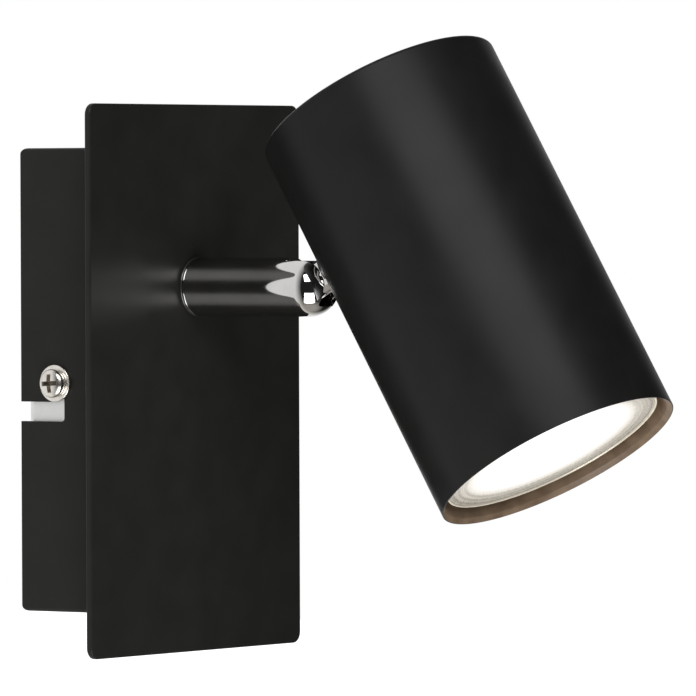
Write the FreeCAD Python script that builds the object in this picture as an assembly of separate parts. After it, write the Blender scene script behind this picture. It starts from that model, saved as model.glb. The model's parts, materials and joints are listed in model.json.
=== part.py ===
import FreeCAD, Part
import math
import os

# Wall spotlight: a canopy on a wall bracket, a swivelling chrome arm with a ball-nosed
# knuckle, and a tubular head that holds a twist-lock reflector lamp.
# Millimetres. X is to the right, -Y points into the room, +Z is up. The wall is the plane
# Y = 0, and the origin is midway between the two wall screws.

# Canopy
PLATE_WIDTH = 80.0
PLATE_HEIGHT = 121.0
PLATE_THICKNESS = 1.5
PLATE_CORNER = 2.5
PLATE_OVERHANG = 9.6
BOX_DEPTH = 24.4
BOX_WALL = 1.0
BOX_FOLD_RADIUS = 1.0
BOX_FRONT_RADIUS = 0.6
BOX_BACK_CORNER = 1.5

# Side screws and the hook slots that hang the canopy on them
SIDE_SCREW_DIAMETER = 4.0
SIDE_SCREW_SETBACK = 9.6
SIDE_SCREW_HEIGHT = -0.7
SIDE_SCREW_HEAD = 6.3
SIDE_SCREW_HEAD_HEIGHT = 2.2
SIDE_SCREW_TAIL = 1.5
SIDE_WASHER_DIAMETER = 8.1
SIDE_WASHER_THICKNESS = 0.8
HOOK_CLEARANCE = 0.15
HOOK_DROP = 6.25
HOOK_CORNER = 0.8

# Wall bracket
BRACKET_THICKNESS = 1.5
BRACKET_HEIGHT = 24.0
BRACKET_BEND = 2.0
LUG_GAP = 1.2
LUG_BEYOND_SCREW = 6.0
LUG_CORNER = 3.0
WALL_SCREW_SPACING = 36.0
WALL_SLOT_LENGTH = 10.0
WALL_SLOT_WIDTH = 4.5

# Arm
ARM_DIAMETER = 13.0
ARM_HEIGHT = 20.2
ARM_BORE = 7.0
ARM_CHAMFER = 0.4
PIVOT_REACH = 30.3
SPACER_THICKNESS = 1.1
NIPPLE_DIAMETER = 10.0
NIPPLE_GRIP = 8.0
NIPPLE_FLAT = 0.7
NIPPLE_TAIL = 1.0
STOP_WASHER_RADIUS = 8.5
STOP_WASHER_THICKNESS = 1.0
STOP_TAB_LENGTH = 3.5
STOP_TAB_WIDTH = 3.2
STOP_PIN_DIAMETER = 2.5
STOP_PIN_HEIGHT = 1.6
SPRING_WASHER_RADIUS = 8.0
SPRING_WASHER_THICKNESS = 0.6
SPRING_WASHER_RISE = 0.6
LOCK_NUT_ACROSS_FLATS = 14.0
LOCK_NUT_THICKNESS = 3.0

# Knuckle
KNUCKLE_SLOT = 6.0
TONGUE_THICKNESS = 5.6
TONGUE_DIAMETER = 7.8
TONGUE_COLLAR = 10.4
SLOT_CORNER = 0.8
PIVOT_SCREW_DIAMETER = 3.0
PIVOT_SCREW_HEAD = 5.2
PIVOT_SCREW_HEAD_HEIGHT = 1.3
PIVOT_SCREW_SEAT = 1.6
PIVOT_SCREW_GRIP = 2.2
PIVOT_WASHER_THICKNESS = 0.15
WIRE_BORE = 3.4
WIRE_GROOVE = 2.4
TONGUE_STUB_DIAMETER = 6.0
TONGUE_STUB_TAIL = 0.6

# Head
REST_TILT = 30.7
TUBE_WALL = 1.2
TUBE_EDGE_RADIUS = 0.8
PIVOT_FROM_TOP = 25.7
PIVOT_TO_TUBE = 9.1
HOLDER_BRACKET_THICKNESS = 1.0
HOLDER_BRACKET_WIDTH = 13.0
HOLDER_BRACKET_BEND = 1.5
TONGUE_NUT_ACROSS_FLATS = 10.0
TONGUE_NUT_THICKNESS = 2.5
TONGUE_NUT_GAP = 0.4

# Lampholder
HOLDER_DIAMETER = 26.0
HOLDER_HEIGHT = 20.0
HOLDER_DISC_HEIGHT = 12.0
HOLDER_BACK_LENGTH = 24.0
HOLDER_BACK_WIDTH = 14.0
HOLDER_BACK_CORNER = 3.5
HOLDER_CHAMFER = 1.0
HOLDER_FACE_LAYER = 3.0
HOLDER_SCREW_SPACING = 17.0
HOLDER_SCREW_DIAMETER = 3.0
HOLDER_SCREW_DEPTH = 6.0
HOLDER_SCREW_HEAD = 5.6
HOLDER_SCREW_HEAD_HEIGHT = 1.8
CONTACT_THICKNESS = 0.4
TWIST_ANGLE = 30.0

# Lamp
LAMP_RECESS = 2.7
LAMP_SIDE_GAP = 1.3
LAMP_DIAMETER = 50.0
LAMP_LENGTH = 48.0
LAMP_RIM_HEIGHT = 8.0
LAMP_BASE_DIAMETER = 24.0
LAMP_BASE_HEIGHT = 14.0
LAMP_BASE_CHAMFER = 1.0
LAMP_NECK_DIAMETER = 28.0
LAMP_NECK_STEP = 1.75
LENS_THICKNESS = 2.4
LENS_SETBACK = 0.45
LENS_RIDGE_FROM_EDGE = (0.85, 1.8, 2.7)
LENS_RIDGE_HEIGHT = 0.3
LENS_RIDGE_HALF_WIDTH = 0.35
BEZEL_WIDTH = 1.2
BEZEL_HEIGHT = 2.0
BEZEL_CHAMFER = 0.4
PIN_SPACING = 10.0
PIN_NECK = 3.0
PIN_HEAD = 5.0
PIN_HEAD_HEIGHT = 3.0
PIN_CHAMFER = 0.4
PIN_GAP = 0.4

# Wiring
TERMINAL_PITCH = 8.0
TERMINAL_POLES = 3
TERMINAL_HEIGHT = 16.0
TERMINAL_DEPTH = 13.0
TERMINAL_SHOULDER = 9.1
TERMINAL_TOWER = 6.6
TERMINAL_TOWER_ROUND = 2.0
TERMINAL_AXIS = 5.2
TERMINAL_BORE = 4.0
TERMINAL_TUBE = 5.4
TERMINAL_TUBE_LENGTH = 12.8
TERMINAL_SCREW = 3.0
TERMINAL_SCREW_SINK = 1.0
TERMINAL_SCREW_BITE = 0.75
BLOCK_SCREW = 2.5
BLOCK_SCREW_HEAD = 4.0
BLOCK_SCREW_HEAD_HEIGHT = 1.3
DRIVE_SLOT_WIDTH = 0.6
DRIVE_SLOT_DEPTH = 0.6
LEAD_DIAMETER = 2.0
LEAD_BEND = 3.0
LEAD_DROP = 7.5
HEAD_LEAD_DIAMETER = 1.4
HEAD_LEAD_FROM_EDGE = 3.5
EARTH_STUD_DIAMETER = 4.0
EARTH_STUD_LENGTH = 9.0
EARTH_FLANGE = 6.0
EARTH_FLANGE_THICKNESS = 1.0
EARTH_FROM_SIDE = 12.4
EARTH_FROM_BOTTOM = 20.9
EARTH_TAG_THICKNESS = 1.0
EARTH_TAG_EYE = 8.0
EARTH_TAG_NECK = 4.0
EARTH_BARREL_DIAMETER = 3.0
EARTH_BARREL_LENGTH = 4.0
EARTH_BARREL_REACH = 6.0
EARTH_WASHER = 7.2
EARTH_WASHER_THICKNESS = 0.8
EARTH_NUT_ACROSS_FLATS = 7.0
EARTH_NUT_THICKNESS = 3.2

# Screw heads: shares of the head's own diameter and height
RECESS_SPAN_SHARE = 0.62
RECESS_ARM_SHARE = 0.16
RECESS_DEPTH_SHARE = 0.6
HEAD_CHAMFER_SHARE = 0.4
NUT_CHAMFER_SHARE = 0.9

# Clearances
THREAD_CLEARANCE = 0.05
RUNNING_CLEARANCE = 0.05
FACE_CLEARANCE = 0.05
MOVING_CLEARANCE = 0.3

# Places worked out from the sizes above
BOX_HALF_WIDTH = PLATE_WIDTH / 2 - PLATE_OVERHANG
BOX_HALF_HEIGHT = PLATE_HEIGHT / 2 - PLATE_OVERHANG
PLATE_BACK = -BOX_DEPTH
PLATE_FRONT = PLATE_BACK - PLATE_THICKNESS
PANEL_INSIDE = -(BOX_DEPTH - BOX_WALL)
LUG_FACE = BOX_HALF_WIDTH - BOX_WALL - LUG_GAP
HOOK_WIDTH = SIDE_SCREW_DIAMETER + 2 * HOOK_CLEARANCE
PIVOT_Y = PLATE_FRONT - PIVOT_REACH
ARM_RADIUS = ARM_DIAMETER / 2
ARM_BASE = PLATE_FRONT - SPACER_THICKNESS - FACE_CLEARANCE
SLOT_DEPTH = TONGUE_DIAMETER / 2 + MOVING_CLEARANCE
TUBE_INNER = LAMP_DIAMETER / 2 + LAMP_SIDE_GAP
TUBE_RADIUS = TUBE_INNER + TUBE_WALL
AXIS_OFFSET = PIVOT_TO_TUBE + TUBE_RADIUS
HOLDER_BACK = TONGUE_NUT_ACROSS_FLATS / math.sqrt(3) + TONGUE_NUT_GAP
HOLDER_FACE = HOLDER_BACK - HOLDER_HEIGHT
LAMP_BACK = HOLDER_FACE - PIN_GAP
LAMP_FRONT = LAMP_BACK - LAMP_LENGTH
TUBE_MOUTH = LAMP_FRONT - LAMP_RECESS
TUBE_LENGTH = PIVOT_FROM_TOP - TUBE_MOUTH
EARTH_X = EARTH_FROM_SIDE - BOX_HALF_WIDTH
EARTH_Z = EARTH_FROM_BOTTOM - BOX_HALF_HEIGHT
PIN_NECK_LENGTH = PIN_GAP + HOLDER_FACE_LAYER + MOVING_CLEARANCE
PIN_TIP = LAMP_BACK + PIN_NECK_LENGTH + PIN_HEAD_HEIGHT
CHAMBER_TOP = PIN_TIP + MOVING_CLEARANCE + CONTACT_THICKNESS
HOLDER_SEAT = math.sqrt(TUBE_INNER ** 2 - (HOLDER_BRACKET_WIDTH / 2) ** 2) - FACE_CLEARANCE
TONGUE_COLLAR_START = ARM_RADIUS + MOVING_CLEARANCE
TONGUE_STUB_END = (AXIS_OFFSET - HOLDER_SEAT + HOLDER_BRACKET_THICKNESS + TONGUE_NUT_THICKNESS
                   + TONGUE_STUB_TAIL)

X_AXIS = FreeCAD.Vector(1, 0, 0)
Y_AXIS = FreeCAD.Vector(0, 1, 0)
Z_AXIS = FreeCAD.Vector(0, 0, 1)


def point(x, y, z):
    return FreeCAD.Vector(x, y, z)


def block(x0, x1, y0, y1, z0, z1):
    return Part.makeBox(x1 - x0, y1 - y0, z1 - z0, point(x0, y0, z0))


def rod(radius, start, direction, length):
    return Part.makeCylinder(radius, length, start, direction)


def ring(outer, inner, start, direction, length):
    return rod(outer, start, direction, length).cut(rod(inner, start, direction, length))


def hexagon(across_flats, start, direction, length):
    """A hexagonal prism whose outer corners are turned down to a chamfer on both ends."""
    corner = across_flats / math.sqrt(3)
    side = direction.cross(Z_AXIS) if abs(direction.z) < 0.5 else X_AXIS
    other = direction.cross(side)
    corners = []
    for step in range(7):
        angle = math.radians(60 * step)
        corners.append(start + side * (corner * math.cos(angle)) + other * (corner * math.sin(angle)))
    prism = Part.Face(Part.makePolygon(corners)).extrude(direction * length)
    turned = rod(corner, start, direction, length)
    chamfer = (corner - across_flats / 2) * NUT_CHAMFER_SHARE
    return prism.common(turned.makeChamfer(min(chamfer, length / 3), turned.Edges))


def rounded_outline(half_width, half_height, radius):
    """A closed rectangle with round corners about the origin, in the XZ plane."""
    edges = []
    flat_x = half_width - radius
    flat_z = half_height - radius
    turn = radius * math.sqrt(0.5)
    for sx, sz, first in ((1, 1, True), (-1, 1, False), (-1, -1, True), (1, -1, False)):
        side = point(sx * half_width, 0, sz * flat_z)
        top = point(sx * flat_x, 0, sz * half_height)
        middle = point(sx * (flat_x + turn), 0, sz * (flat_z + turn))
        start, end = (side, top) if first else (top, side)
        if edges:
            edges.append(Part.LineSegment(edges[-1].Vertexes[-1].Point, start).toShape())
        edges.append(Part.Arc(start, middle, end).toShape())
    edges.append(Part.LineSegment(edges[-1].Vertexes[-1].Point, edges[0].Vertexes[0].Point).toShape())
    return Part.Wire(Part.__sortEdges__(edges))


def revolved(profile, axis_point, axis):
    """Turns a closed chain of points about an axis."""
    return Part.Face(Part.makePolygon(profile + profile[:1])).revolve(axis_point, axis, 360)


def lead(points, diameter, bend):
    """A round wire along straight runs joined by tangent arcs."""
    edges = []
    last = points[0]
    for before, corner, after in zip(points, points[1:], points[2:]):
        inward = (before - corner).normalize()
        outward = (after - corner).normalize()
        half = inward.getAngle(outward) / 2
        trim = bend / math.tan(half)
        start = corner + inward * trim
        end = corner + outward * trim
        bisector = (inward + outward).normalize()
        middle = corner + bisector * (bend / math.sin(half) - bend)
        edges.append(Part.LineSegment(last, start).toShape())
        edges.append(Part.Arc(start, middle, end).toShape())
        last = end
    edges.append(Part.LineSegment(last, points[-1]).toShape())
    path = Part.Wire(edges)
    section = Part.Wire(Part.makeCircle(diameter / 2, points[0], points[1] - points[0]))
    return path.makePipeShell([section], True, False)


def mirrored(shape):
    """The shape and its mirror image across the YZ plane."""
    return Part.makeCompound([shape, shape.mirror(point(0, 0, 0), X_AXIS)])


def screw_recess(centre, inward, diameter, depth):
    """A cross recess for a screw head of this diameter."""
    side = inward.cross(Z_AXIS).normalize() if abs(inward.z) < 0.5 else X_AXIS
    other = inward.cross(side)
    arms = []
    for along, across in ((side, other), (other, side)):
        half = along * (diameter * RECESS_SPAN_SHARE / 2)
        thin = across * (diameter * RECESS_ARM_SHARE / 2)
        mouth = Part.makePolygon([centre + half + thin, centre - half + thin, centre - half - thin,
                                  centre + half - thin, centre + half + thin])
        arms.append(Part.Face(mouth).extrude(inward * depth))
    return arms[0].fuse(arms[1])


def pan_head(centre, outward, diameter, height):
    """A screw head with a bevelled top and a cross recess; centre lies under the head."""
    head = rod(diameter / 2, centre, outward, height)
    head = head.makeChamfer(height * HEAD_CHAMFER_SHARE, [top_edge(head, outward)])
    return head.cut(screw_recess(centre + outward * height, outward * -1, diameter,
                                 height * RECESS_DEPTH_SHARE))


def top_edge(shape, direction):
    return max(shape.Edges, key=lambda edge: edge.CenterOfMass.dot(direction)
               if edge.Curve.TypeId == "Part::GeomCircle" else -1e9)


# Canopy -----------------------------------------------------------------------------------

def front_plate():
    outline = rounded_outline(PLATE_WIDTH / 2, PLATE_HEIGHT / 2, PLATE_CORNER)
    plate = Part.Face(outline).extrude(point(0, -PLATE_THICKNESS, 0))
    plate.translate(point(0, PLATE_BACK, 0))
    return plate.cut(arm_hole(PLATE_THICKNESS, PLATE_BACK))


def arm_hole(length, back):
    radius = NIPPLE_DIAMETER / 2 + RUNNING_CLEARANCE
    return rod(radius, point(0, back, ARM_HEIGHT), Y_AXIS * -1, length)


def folded_tray(half_width, half_height, depth, fold, back_corner):
    """A block with round folds at the front and along its length and round corners at the back."""
    along = Part.Face(rounded_outline(half_width, half_height, fold)).extrude(point(0, -depth, 0))
    if back_corner <= 0:
        return along
    edges = [edge for edge in along.Edges
             if abs(edge.CenterOfMass.y) < 1e-6 and abs(edge.CenterOfMass.z) > half_height - 1e-6]
    return along.makeFillet(back_corner, edges)


def hook_slot():
    """The L-shaped way of one side screw, cut through both side walls."""
    half = HOOK_WIDTH / 2
    reach = BOX_HALF_WIDTH + BOX_WALL
    low = SIDE_SCREW_HEIGHT - HOOK_DROP
    entry = block(-reach, reach, -SIDE_SCREW_SETBACK - half, 0, low - half, low + half)
    rise = block(-reach, reach, -SIDE_SCREW_SETBACK - half, -SIDE_SCREW_SETBACK + half,
                 low, SIDE_SCREW_HEIGHT)
    end = rod(half, point(-reach, -SIDE_SCREW_SETBACK, SIDE_SCREW_HEIGHT), X_AXIS, 2 * reach)
    slot = entry.fuse([rise, end]).removeSplitter()
    corners = [edge for edge in slot.Edges
               if abs(edge.CenterOfMass.y + SIDE_SCREW_SETBACK + half) < 1e-6
               and abs(edge.CenterOfMass.z - low + half) < 1e-6]
    return slot.makeFillet(HOOK_CORNER, corners)


def canopy_box():
    outer = folded_tray(BOX_HALF_WIDTH, BOX_HALF_HEIGHT, BOX_DEPTH, BOX_FOLD_RADIUS, 0)
    front = [edge for edge in outer.Edges if abs(edge.CenterOfMass.y + BOX_DEPTH) < 1e-6]
    outer = outer.makeFillet(BOX_FRONT_RADIUS, front)
    inner = block(-BOX_HALF_WIDTH + BOX_WALL, BOX_HALF_WIDTH - BOX_WALL, PANEL_INSIDE, 0,
                  -BOX_HALF_HEIGHT + BOX_WALL, BOX_HALF_HEIGHT - BOX_WALL)
    box = outer.cut(inner).cut(hook_slot()).cut(arm_hole(BOX_DEPTH, 0))
    for sign in (-1, 1):
        box = box.cut(back_corner_cut(sign))
    stop = rod(STOP_PIN_DIAMETER / 2, point(0, PANEL_INSIDE, ARM_HEIGHT - stop_radius()), Y_AXIS,
               STOP_PIN_HEIGHT)
    return box.fuse(stop)


def back_corner_cut(sign):
    """What the round free corner of the side walls takes away, above or below."""
    radius = BOX_BACK_CORNER
    reach = BOX_HALF_WIDTH + BOX_WALL
    edge = sign * BOX_HALF_HEIGHT
    inner = sign * (BOX_HALF_HEIGHT - radius)
    corner = block(-reach, reach, -radius, 0, min(edge, inner), max(edge, inner))
    return corner.cut(rod(radius, point(-reach, -radius, inner), X_AXIS, 2 * reach))


def stop_radius():
    return STOP_WASHER_RADIUS + STOP_PIN_DIAMETER / 2 + 2 * MOVING_CLEARANCE


def side_screws():
    face = -BOX_HALF_WIDTH - SIDE_WASHER_THICKNESS
    place = point(face, -SIDE_SCREW_SETBACK, SIDE_SCREW_HEIGHT)
    length = SIDE_WASHER_THICKNESS + BOX_WALL + LUG_GAP + BRACKET_THICKNESS + SIDE_SCREW_TAIL
    shank = rod(SIDE_SCREW_DIAMETER / 2, place, X_AXIS, length)
    head = pan_head(place, X_AXIS * -1, SIDE_SCREW_HEAD, SIDE_SCREW_HEAD_HEIGHT)
    return mirrored(head.fuse(shank).removeSplitter())


def side_washers():
    place = point(-BOX_HALF_WIDTH - SIDE_WASHER_THICKNESS, -SIDE_SCREW_SETBACK, SIDE_SCREW_HEIGHT)
    washer = ring(SIDE_WASHER_DIAMETER / 2, SIDE_SCREW_DIAMETER / 2 + THREAD_CLEARANCE, place, X_AXIS,
                  SIDE_WASHER_THICKNESS)
    return mirrored(washer)


def wall_slots():
    """Two slots for the wall screws, along X."""
    half = WALL_SLOT_WIDTH / 2
    straight = WALL_SLOT_LENGTH / 2 - half
    slots = []
    for centre in (-WALL_SCREW_SPACING / 2, WALL_SCREW_SPACING / 2):
        slots.append(block(centre - straight, centre + straight, -BRACKET_THICKNESS, 0, -half, half))
        for end in (centre - straight, centre + straight):
            slots.append(rod(half, point(end, 0, 0), Y_AXIS * -1, BRACKET_THICKNESS))
    return slots


def wall_bracket():
    low = SIDE_SCREW_HEIGHT - BRACKET_HEIGHT / 2
    high = SIDE_SCREW_HEIGHT + BRACKET_HEIGHT / 2
    reach = SIDE_SCREW_SETBACK + LUG_BEYOND_SCREW
    outer = block(-LUG_FACE, LUG_FACE, -reach, 0, low, high)
    inner = block(-LUG_FACE + BRACKET_THICKNESS, LUG_FACE - BRACKET_THICKNESS, -reach,
                  -BRACKET_THICKNESS, low, high)
    bends = [edge for edge in outer.Edges
             if abs(edge.CenterOfMass.y) < 1e-6 and abs(abs(edge.CenterOfMass.x) - LUG_FACE) < 1e-6]
    outer = outer.makeFillet(BRACKET_BEND, bends)
    tips = [edge for edge in outer.Edges
            if abs(edge.CenterOfMass.y + reach) < 1e-6 and abs(edge.CenterOfMass.x) < 1e-6]
    outer = outer.makeFillet(LUG_CORNER, tips)
    inner_bends = [edge for edge in inner.Edges
                   if abs(edge.CenterOfMass.y + BRACKET_THICKNESS) < 1e-6
                   and abs(edge.CenterOfMass.x) > LUG_FACE / 2]
    inner = inner.makeFillet(BRACKET_BEND - BRACKET_THICKNESS / 2, inner_bends)
    bracket = outer.cut(inner).cut(wall_slots())
    holes = rod(SIDE_SCREW_DIAMETER / 2 + THREAD_CLEARANCE,
                point(-LUG_FACE, -SIDE_SCREW_SETBACK, SIDE_SCREW_HEIGHT), X_AXIS, 2 * LUG_FACE)
    bracket = bracket.cut(holes)
    for place in block_screw_places():
        bracket = bracket.cut(rod(BLOCK_SCREW / 2 + THREAD_CLEARANCE, place, Y_AXIS * -1,
                                  BRACKET_THICKNESS))
    return bracket


# Swivel -----------------------------------------------------------------------------------

def arm_spacer():
    start = point(0, PLATE_FRONT - FACE_CLEARANCE, ARM_HEIGHT)
    return ring(ARM_RADIUS, NIPPLE_DIAMETER / 2 + THREAD_CLEARANCE, start, Y_AXIS * -1,
                SPACER_THICKNESS)


def nipple_inner_end():
    return (PANEL_INSIDE + FACE_CLEARANCE + STOP_WASHER_THICKNESS + SPRING_WASHER_THICKNESS
            + SPRING_WASHER_RISE + LOCK_NUT_THICKNESS + NIPPLE_TAIL)


def swivel_nipple():
    end = nipple_inner_end()
    length = end - ARM_BASE + NIPPLE_GRIP
    start = point(0, end, ARM_HEIGHT)
    nipple = ring(NIPPLE_DIAMETER / 2, ARM_BORE / 2, start, Y_AXIS * -1, length)
    radius = NIPPLE_DIAMETER / 2
    keyed = block(radius - NIPPLE_FLAT, radius + NIPPLE_FLAT, PANEL_INSIDE, end,
                  ARM_HEIGHT - radius, ARM_HEIGHT + radius)
    return nipple.cut(keyed)


def stop_washer():
    """A washer keyed to the nipple's flat, with a tab that meets the pin in the canopy."""
    back = PANEL_INSIDE + FACE_CLEARANCE
    start = point(0, back, ARM_HEIGHT)
    washer = rod(STOP_WASHER_RADIUS, start, Y_AXIS, STOP_WASHER_THICKNESS)
    tab = block(-STOP_TAB_WIDTH / 2, STOP_TAB_WIDTH / 2, back, back + STOP_WASHER_THICKNESS,
                ARM_HEIGHT, ARM_HEIGHT + STOP_WASHER_RADIUS + STOP_TAB_LENGTH)
    hole_radius = NIPPLE_DIAMETER / 2 + THREAD_CLEARANCE
    hole = rod(hole_radius, start, Y_AXIS, STOP_WASHER_THICKNESS)
    key = block(NIPPLE_DIAMETER / 2 - NIPPLE_FLAT + THREAD_CLEARANCE, hole_radius,
                back, back + STOP_WASHER_THICKNESS, ARM_HEIGHT - hole_radius, ARM_HEIGHT + hole_radius)
    return washer.fuse(tab).cut(hole.cut(key)).removeSplitter()


def spring_washer():
    """A conical spring washer between the stop washer and the nut."""
    low = PANEL_INSIDE + FACE_CLEARANCE + STOP_WASHER_THICKNESS
    inner = NIPPLE_DIAMETER / 2 + THREAD_CLEARANCE
    profile = [point(SPRING_WASHER_RADIUS, low, 0),
               point(SPRING_WASHER_RADIUS, low + SPRING_WASHER_THICKNESS, 0),
               point(inner, low + SPRING_WASHER_RISE + SPRING_WASHER_THICKNESS, 0),
               point(inner, low + SPRING_WASHER_RISE, 0)]
    washer = revolved(profile, point(0, 0, 0), Y_AXIS)
    washer.translate(point(0, 0, ARM_HEIGHT))
    return washer


def lock_nut():
    start = point(0, nipple_inner_end() - NIPPLE_TAIL - LOCK_NUT_THICKNESS, ARM_HEIGHT)
    nut = hexagon(LOCK_NUT_ACROSS_FLATS, start, Y_AXIS, LOCK_NUT_THICKNESS)
    return nut.cut(rod(NIPPLE_DIAMETER / 2 + THREAD_CLEARANCE, start, Y_AXIS, LOCK_NUT_THICKNESS))


def pivot():
    return point(0, PIVOT_Y, ARM_HEIGHT)


def swivel_arm():
    """A round bar with a ball nose, slotted from the front and above for the tongue."""
    centre = pivot()
    length = ARM_BASE - PIVOT_Y
    bar = rod(ARM_RADIUS, point(0, ARM_BASE, ARM_HEIGHT), Y_AXIS * -1, length)
    bar = bar.makeChamfer(ARM_CHAMFER, [top_edge(bar, Y_AXIS)])
    arm = bar.fuse(Part.makeSphere(ARM_RADIUS, centre)).removeSplitter()
    slot = block(-KNUCKLE_SLOT / 2, KNUCKLE_SLOT / 2, PIVOT_Y - ARM_DIAMETER, PIVOT_Y + SLOT_DEPTH,
                 ARM_HEIGHT - SLOT_DEPTH, ARM_HEIGHT + ARM_DIAMETER)
    corners = [edge for edge in slot.Edges
               if abs(edge.CenterOfMass.z - ARM_HEIGHT + SLOT_DEPTH) < 1e-6
               and abs(edge.CenterOfMass.x) > KNUCKLE_SLOT / 4]
    arm = arm.cut(slot.makeFillet(SLOT_CORNER, corners))
    nipple_radius = NIPPLE_DIAMETER / 2 + THREAD_CLEARANCE
    arm = arm.cut(rod(nipple_radius, point(0, ARM_BASE, ARM_HEIGHT), Y_AXIS * -1, NIPPLE_GRIP))
    arm = arm.cut(rod(ARM_BORE / 2, point(0, ARM_BASE, ARM_HEIGHT), Y_AXIS * -1, length - SLOT_DEPTH))
    seat = ARM_RADIUS - PIVOT_SCREW_SEAT - THREAD_CLEARANCE
    head_room = rod(PIVOT_SCREW_HEAD / 2 + 2 * THREAD_CLEARANCE,
                    centre + X_AXIS * (ARM_RADIUS - PIVOT_SCREW_SEAT), X_AXIS, ARM_RADIUS)
    grip_end = -KNUCKLE_SLOT / 2 - PIVOT_SCREW_GRIP - THREAD_CLEARANCE
    shank = rod(PIVOT_SCREW_DIAMETER / 2 + THREAD_CLEARANCE, centre + X_AXIS * grip_end, X_AXIS,
                seat - grip_end + PIVOT_SCREW_SEAT)
    return arm.cut([head_room, shank])


def pivot_screw():
    centre = pivot()
    seat = ARM_RADIUS - PIVOT_SCREW_SEAT
    end = -KNUCKLE_SLOT / 2 - PIVOT_SCREW_GRIP
    shank = rod(PIVOT_SCREW_DIAMETER / 2, centre + X_AXIS * end, X_AXIS, seat - end)
    head = pan_head(centre + X_AXIS * seat, X_AXIS, PIVOT_SCREW_HEAD, PIVOT_SCREW_HEAD_HEIGHT)
    return head.fuse(shank).removeSplitter()


def pivot_washers():
    """Two friction washers, one against each cheek of the slot."""
    radius = math.sqrt((TONGUE_DIAMETER / 2) ** 2 - (TONGUE_THICKNESS / 2) ** 2)
    start = pivot() - X_AXIS * (KNUCKLE_SLOT / 2)
    washer = ring(radius, PIVOT_SCREW_DIAMETER / 2 + THREAD_CLEARANCE, start, X_AXIS,
                  PIVOT_WASHER_THICKNESS)
    return mirrored(washer)


# Head, built with the tube upright and the pivot at the origin ---------------------------

def tilted(shape):
    """Turns a head piece to its tilt at rest and carries it to the pivot."""
    shape.rotate(point(0, 0, 0), X_AXIS, -REST_TILT)
    shape.translate(pivot())
    return shape


def tube_axis(height):
    return point(0, -AXIS_OFFSET, height)


def head_tongue():
    """A turned rod with a ball end, flats to fit the slot, a collar and a hollow threaded stub."""
    radius = TONGUE_DIAMETER / 2
    forward = Y_AXIS * -1
    origin = point(0, 0, 0)
    shaft = Part.makeSphere(radius, origin).fuse(rod(radius, origin, forward, TONGUE_COLLAR_START))
    cheek = TONGUE_THICKNESS / 2
    flats = block(-cheek, cheek, -TONGUE_COLLAR_START, radius, -radius, radius)
    shaft = shaft.common(flats)
    collar = rod(TONGUE_COLLAR / 2, point(0, -TONGUE_COLLAR_START, 0), forward,
                 AXIS_OFFSET - TONGUE_COLLAR_START)
    wall = rod(TUBE_RADIUS + FACE_CLEARANCE, tube_axis(-TUBE_LENGTH), Z_AXIS, 2 * TUBE_LENGTH)
    collar = collar.cut(wall)
    stub = rod(TONGUE_STUB_DIAMETER / 2, point(0, -TONGUE_COLLAR_START, 0), forward,
               TONGUE_STUB_END - TONGUE_COLLAR_START)
    tongue = shaft.fuse([collar, stub]).removeSplitter()
    pin = rod(PIVOT_SCREW_DIAMETER / 2 + RUNNING_CLEARANCE, point(-radius, 0, 0), X_AXIS, 2 * radius)
    groove_floor = PIVOT_SCREW_DIAMETER / 2 + 2 * MOVING_CLEARANCE
    wire_way = rod(WIRE_BORE / 2, point(0, -groove_floor, 0), forward, TONGUE_STUB_END)
    groove = ring(radius * 2, groove_floor, point(-WIRE_GROOVE / 2, 0, 0), X_AXIS, WIRE_GROOVE)
    upper = block(-radius, radius, -groove_floor - WIRE_BORE / 2, radius, 0, radius)
    return tongue.cut([pin, wire_way, groove.common(upper)])


def tongue_nut():
    face = AXIS_OFFSET - HOLDER_SEAT + HOLDER_BRACKET_THICKNESS
    start = point(0, -face, 0)
    nut = hexagon(TONGUE_NUT_ACROSS_FLATS, start, Y_AXIS * -1, TONGUE_NUT_THICKNESS)
    return nut.cut(rod(TONGUE_STUB_DIAMETER / 2 + THREAD_CLEARANCE, start, Y_AXIS * -1,
                       TONGUE_NUT_THICKNESS))


def spotlight_tube():
    tube = rod(TUBE_RADIUS, tube_axis(TUBE_MOUTH), Z_AXIS, TUBE_LENGTH)
    tube = tube.makeFillet(TUBE_EDGE_RADIUS, [top_edge(tube, Z_AXIS)])
    tube = tube.cut(rod(TUBE_INNER, tube_axis(TUBE_MOUTH), Z_AXIS, TUBE_LENGTH - TUBE_WALL))
    return tube.cut(stub_hole(PIVOT_TO_TUBE - TUBE_WALL, 4 * TUBE_WALL))


def stub_hole(start, length):
    return rod(TONGUE_STUB_DIAMETER / 2 + THREAD_CLEARANCE, point(0, -start, 0), Y_AXIS * -1, length)


def holder_bracket():
    """An angle: one leg under the tongue's nut, the other across the back of the lampholder."""
    half = HOLDER_BRACKET_WIDTH / 2
    face = -AXIS_OFFSET + HOLDER_SEAT
    thick = HOLDER_BRACKET_THICKNESS
    top = HOLDER_BACK + thick
    far = -AXIS_OFFSET - HOLDER_BACK_LENGTH / 2
    outer = block(-half, half, far, face, -half, top)
    inner = block(-half, half, far, face - thick, -half, HOLDER_BACK)
    outer_bend = [edge for edge in outer.Edges
                  if abs(edge.CenterOfMass.y - face) < 1e-6 and abs(edge.CenterOfMass.z - top) < 1e-6]
    inner_bend = [edge for edge in inner.Edges
                  if abs(edge.CenterOfMass.y - face + thick) < 1e-6
                  and abs(edge.CenterOfMass.z - HOLDER_BACK) < 1e-6]
    angle = outer.makeFillet(HOLDER_BRACKET_BEND, outer_bend)
    angle = angle.cut(inner.makeFillet(HOLDER_BRACKET_BEND - thick / 2, inner_bend))
    angle = angle.cut(stub_hole(-face - thick, 3 * thick))
    for place in holder_screw_places():
        angle = angle.cut(rod(HOLDER_SCREW_DIAMETER / 2 + THREAD_CLEARANCE, place, Z_AXIS, thick))
    return angle


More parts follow.
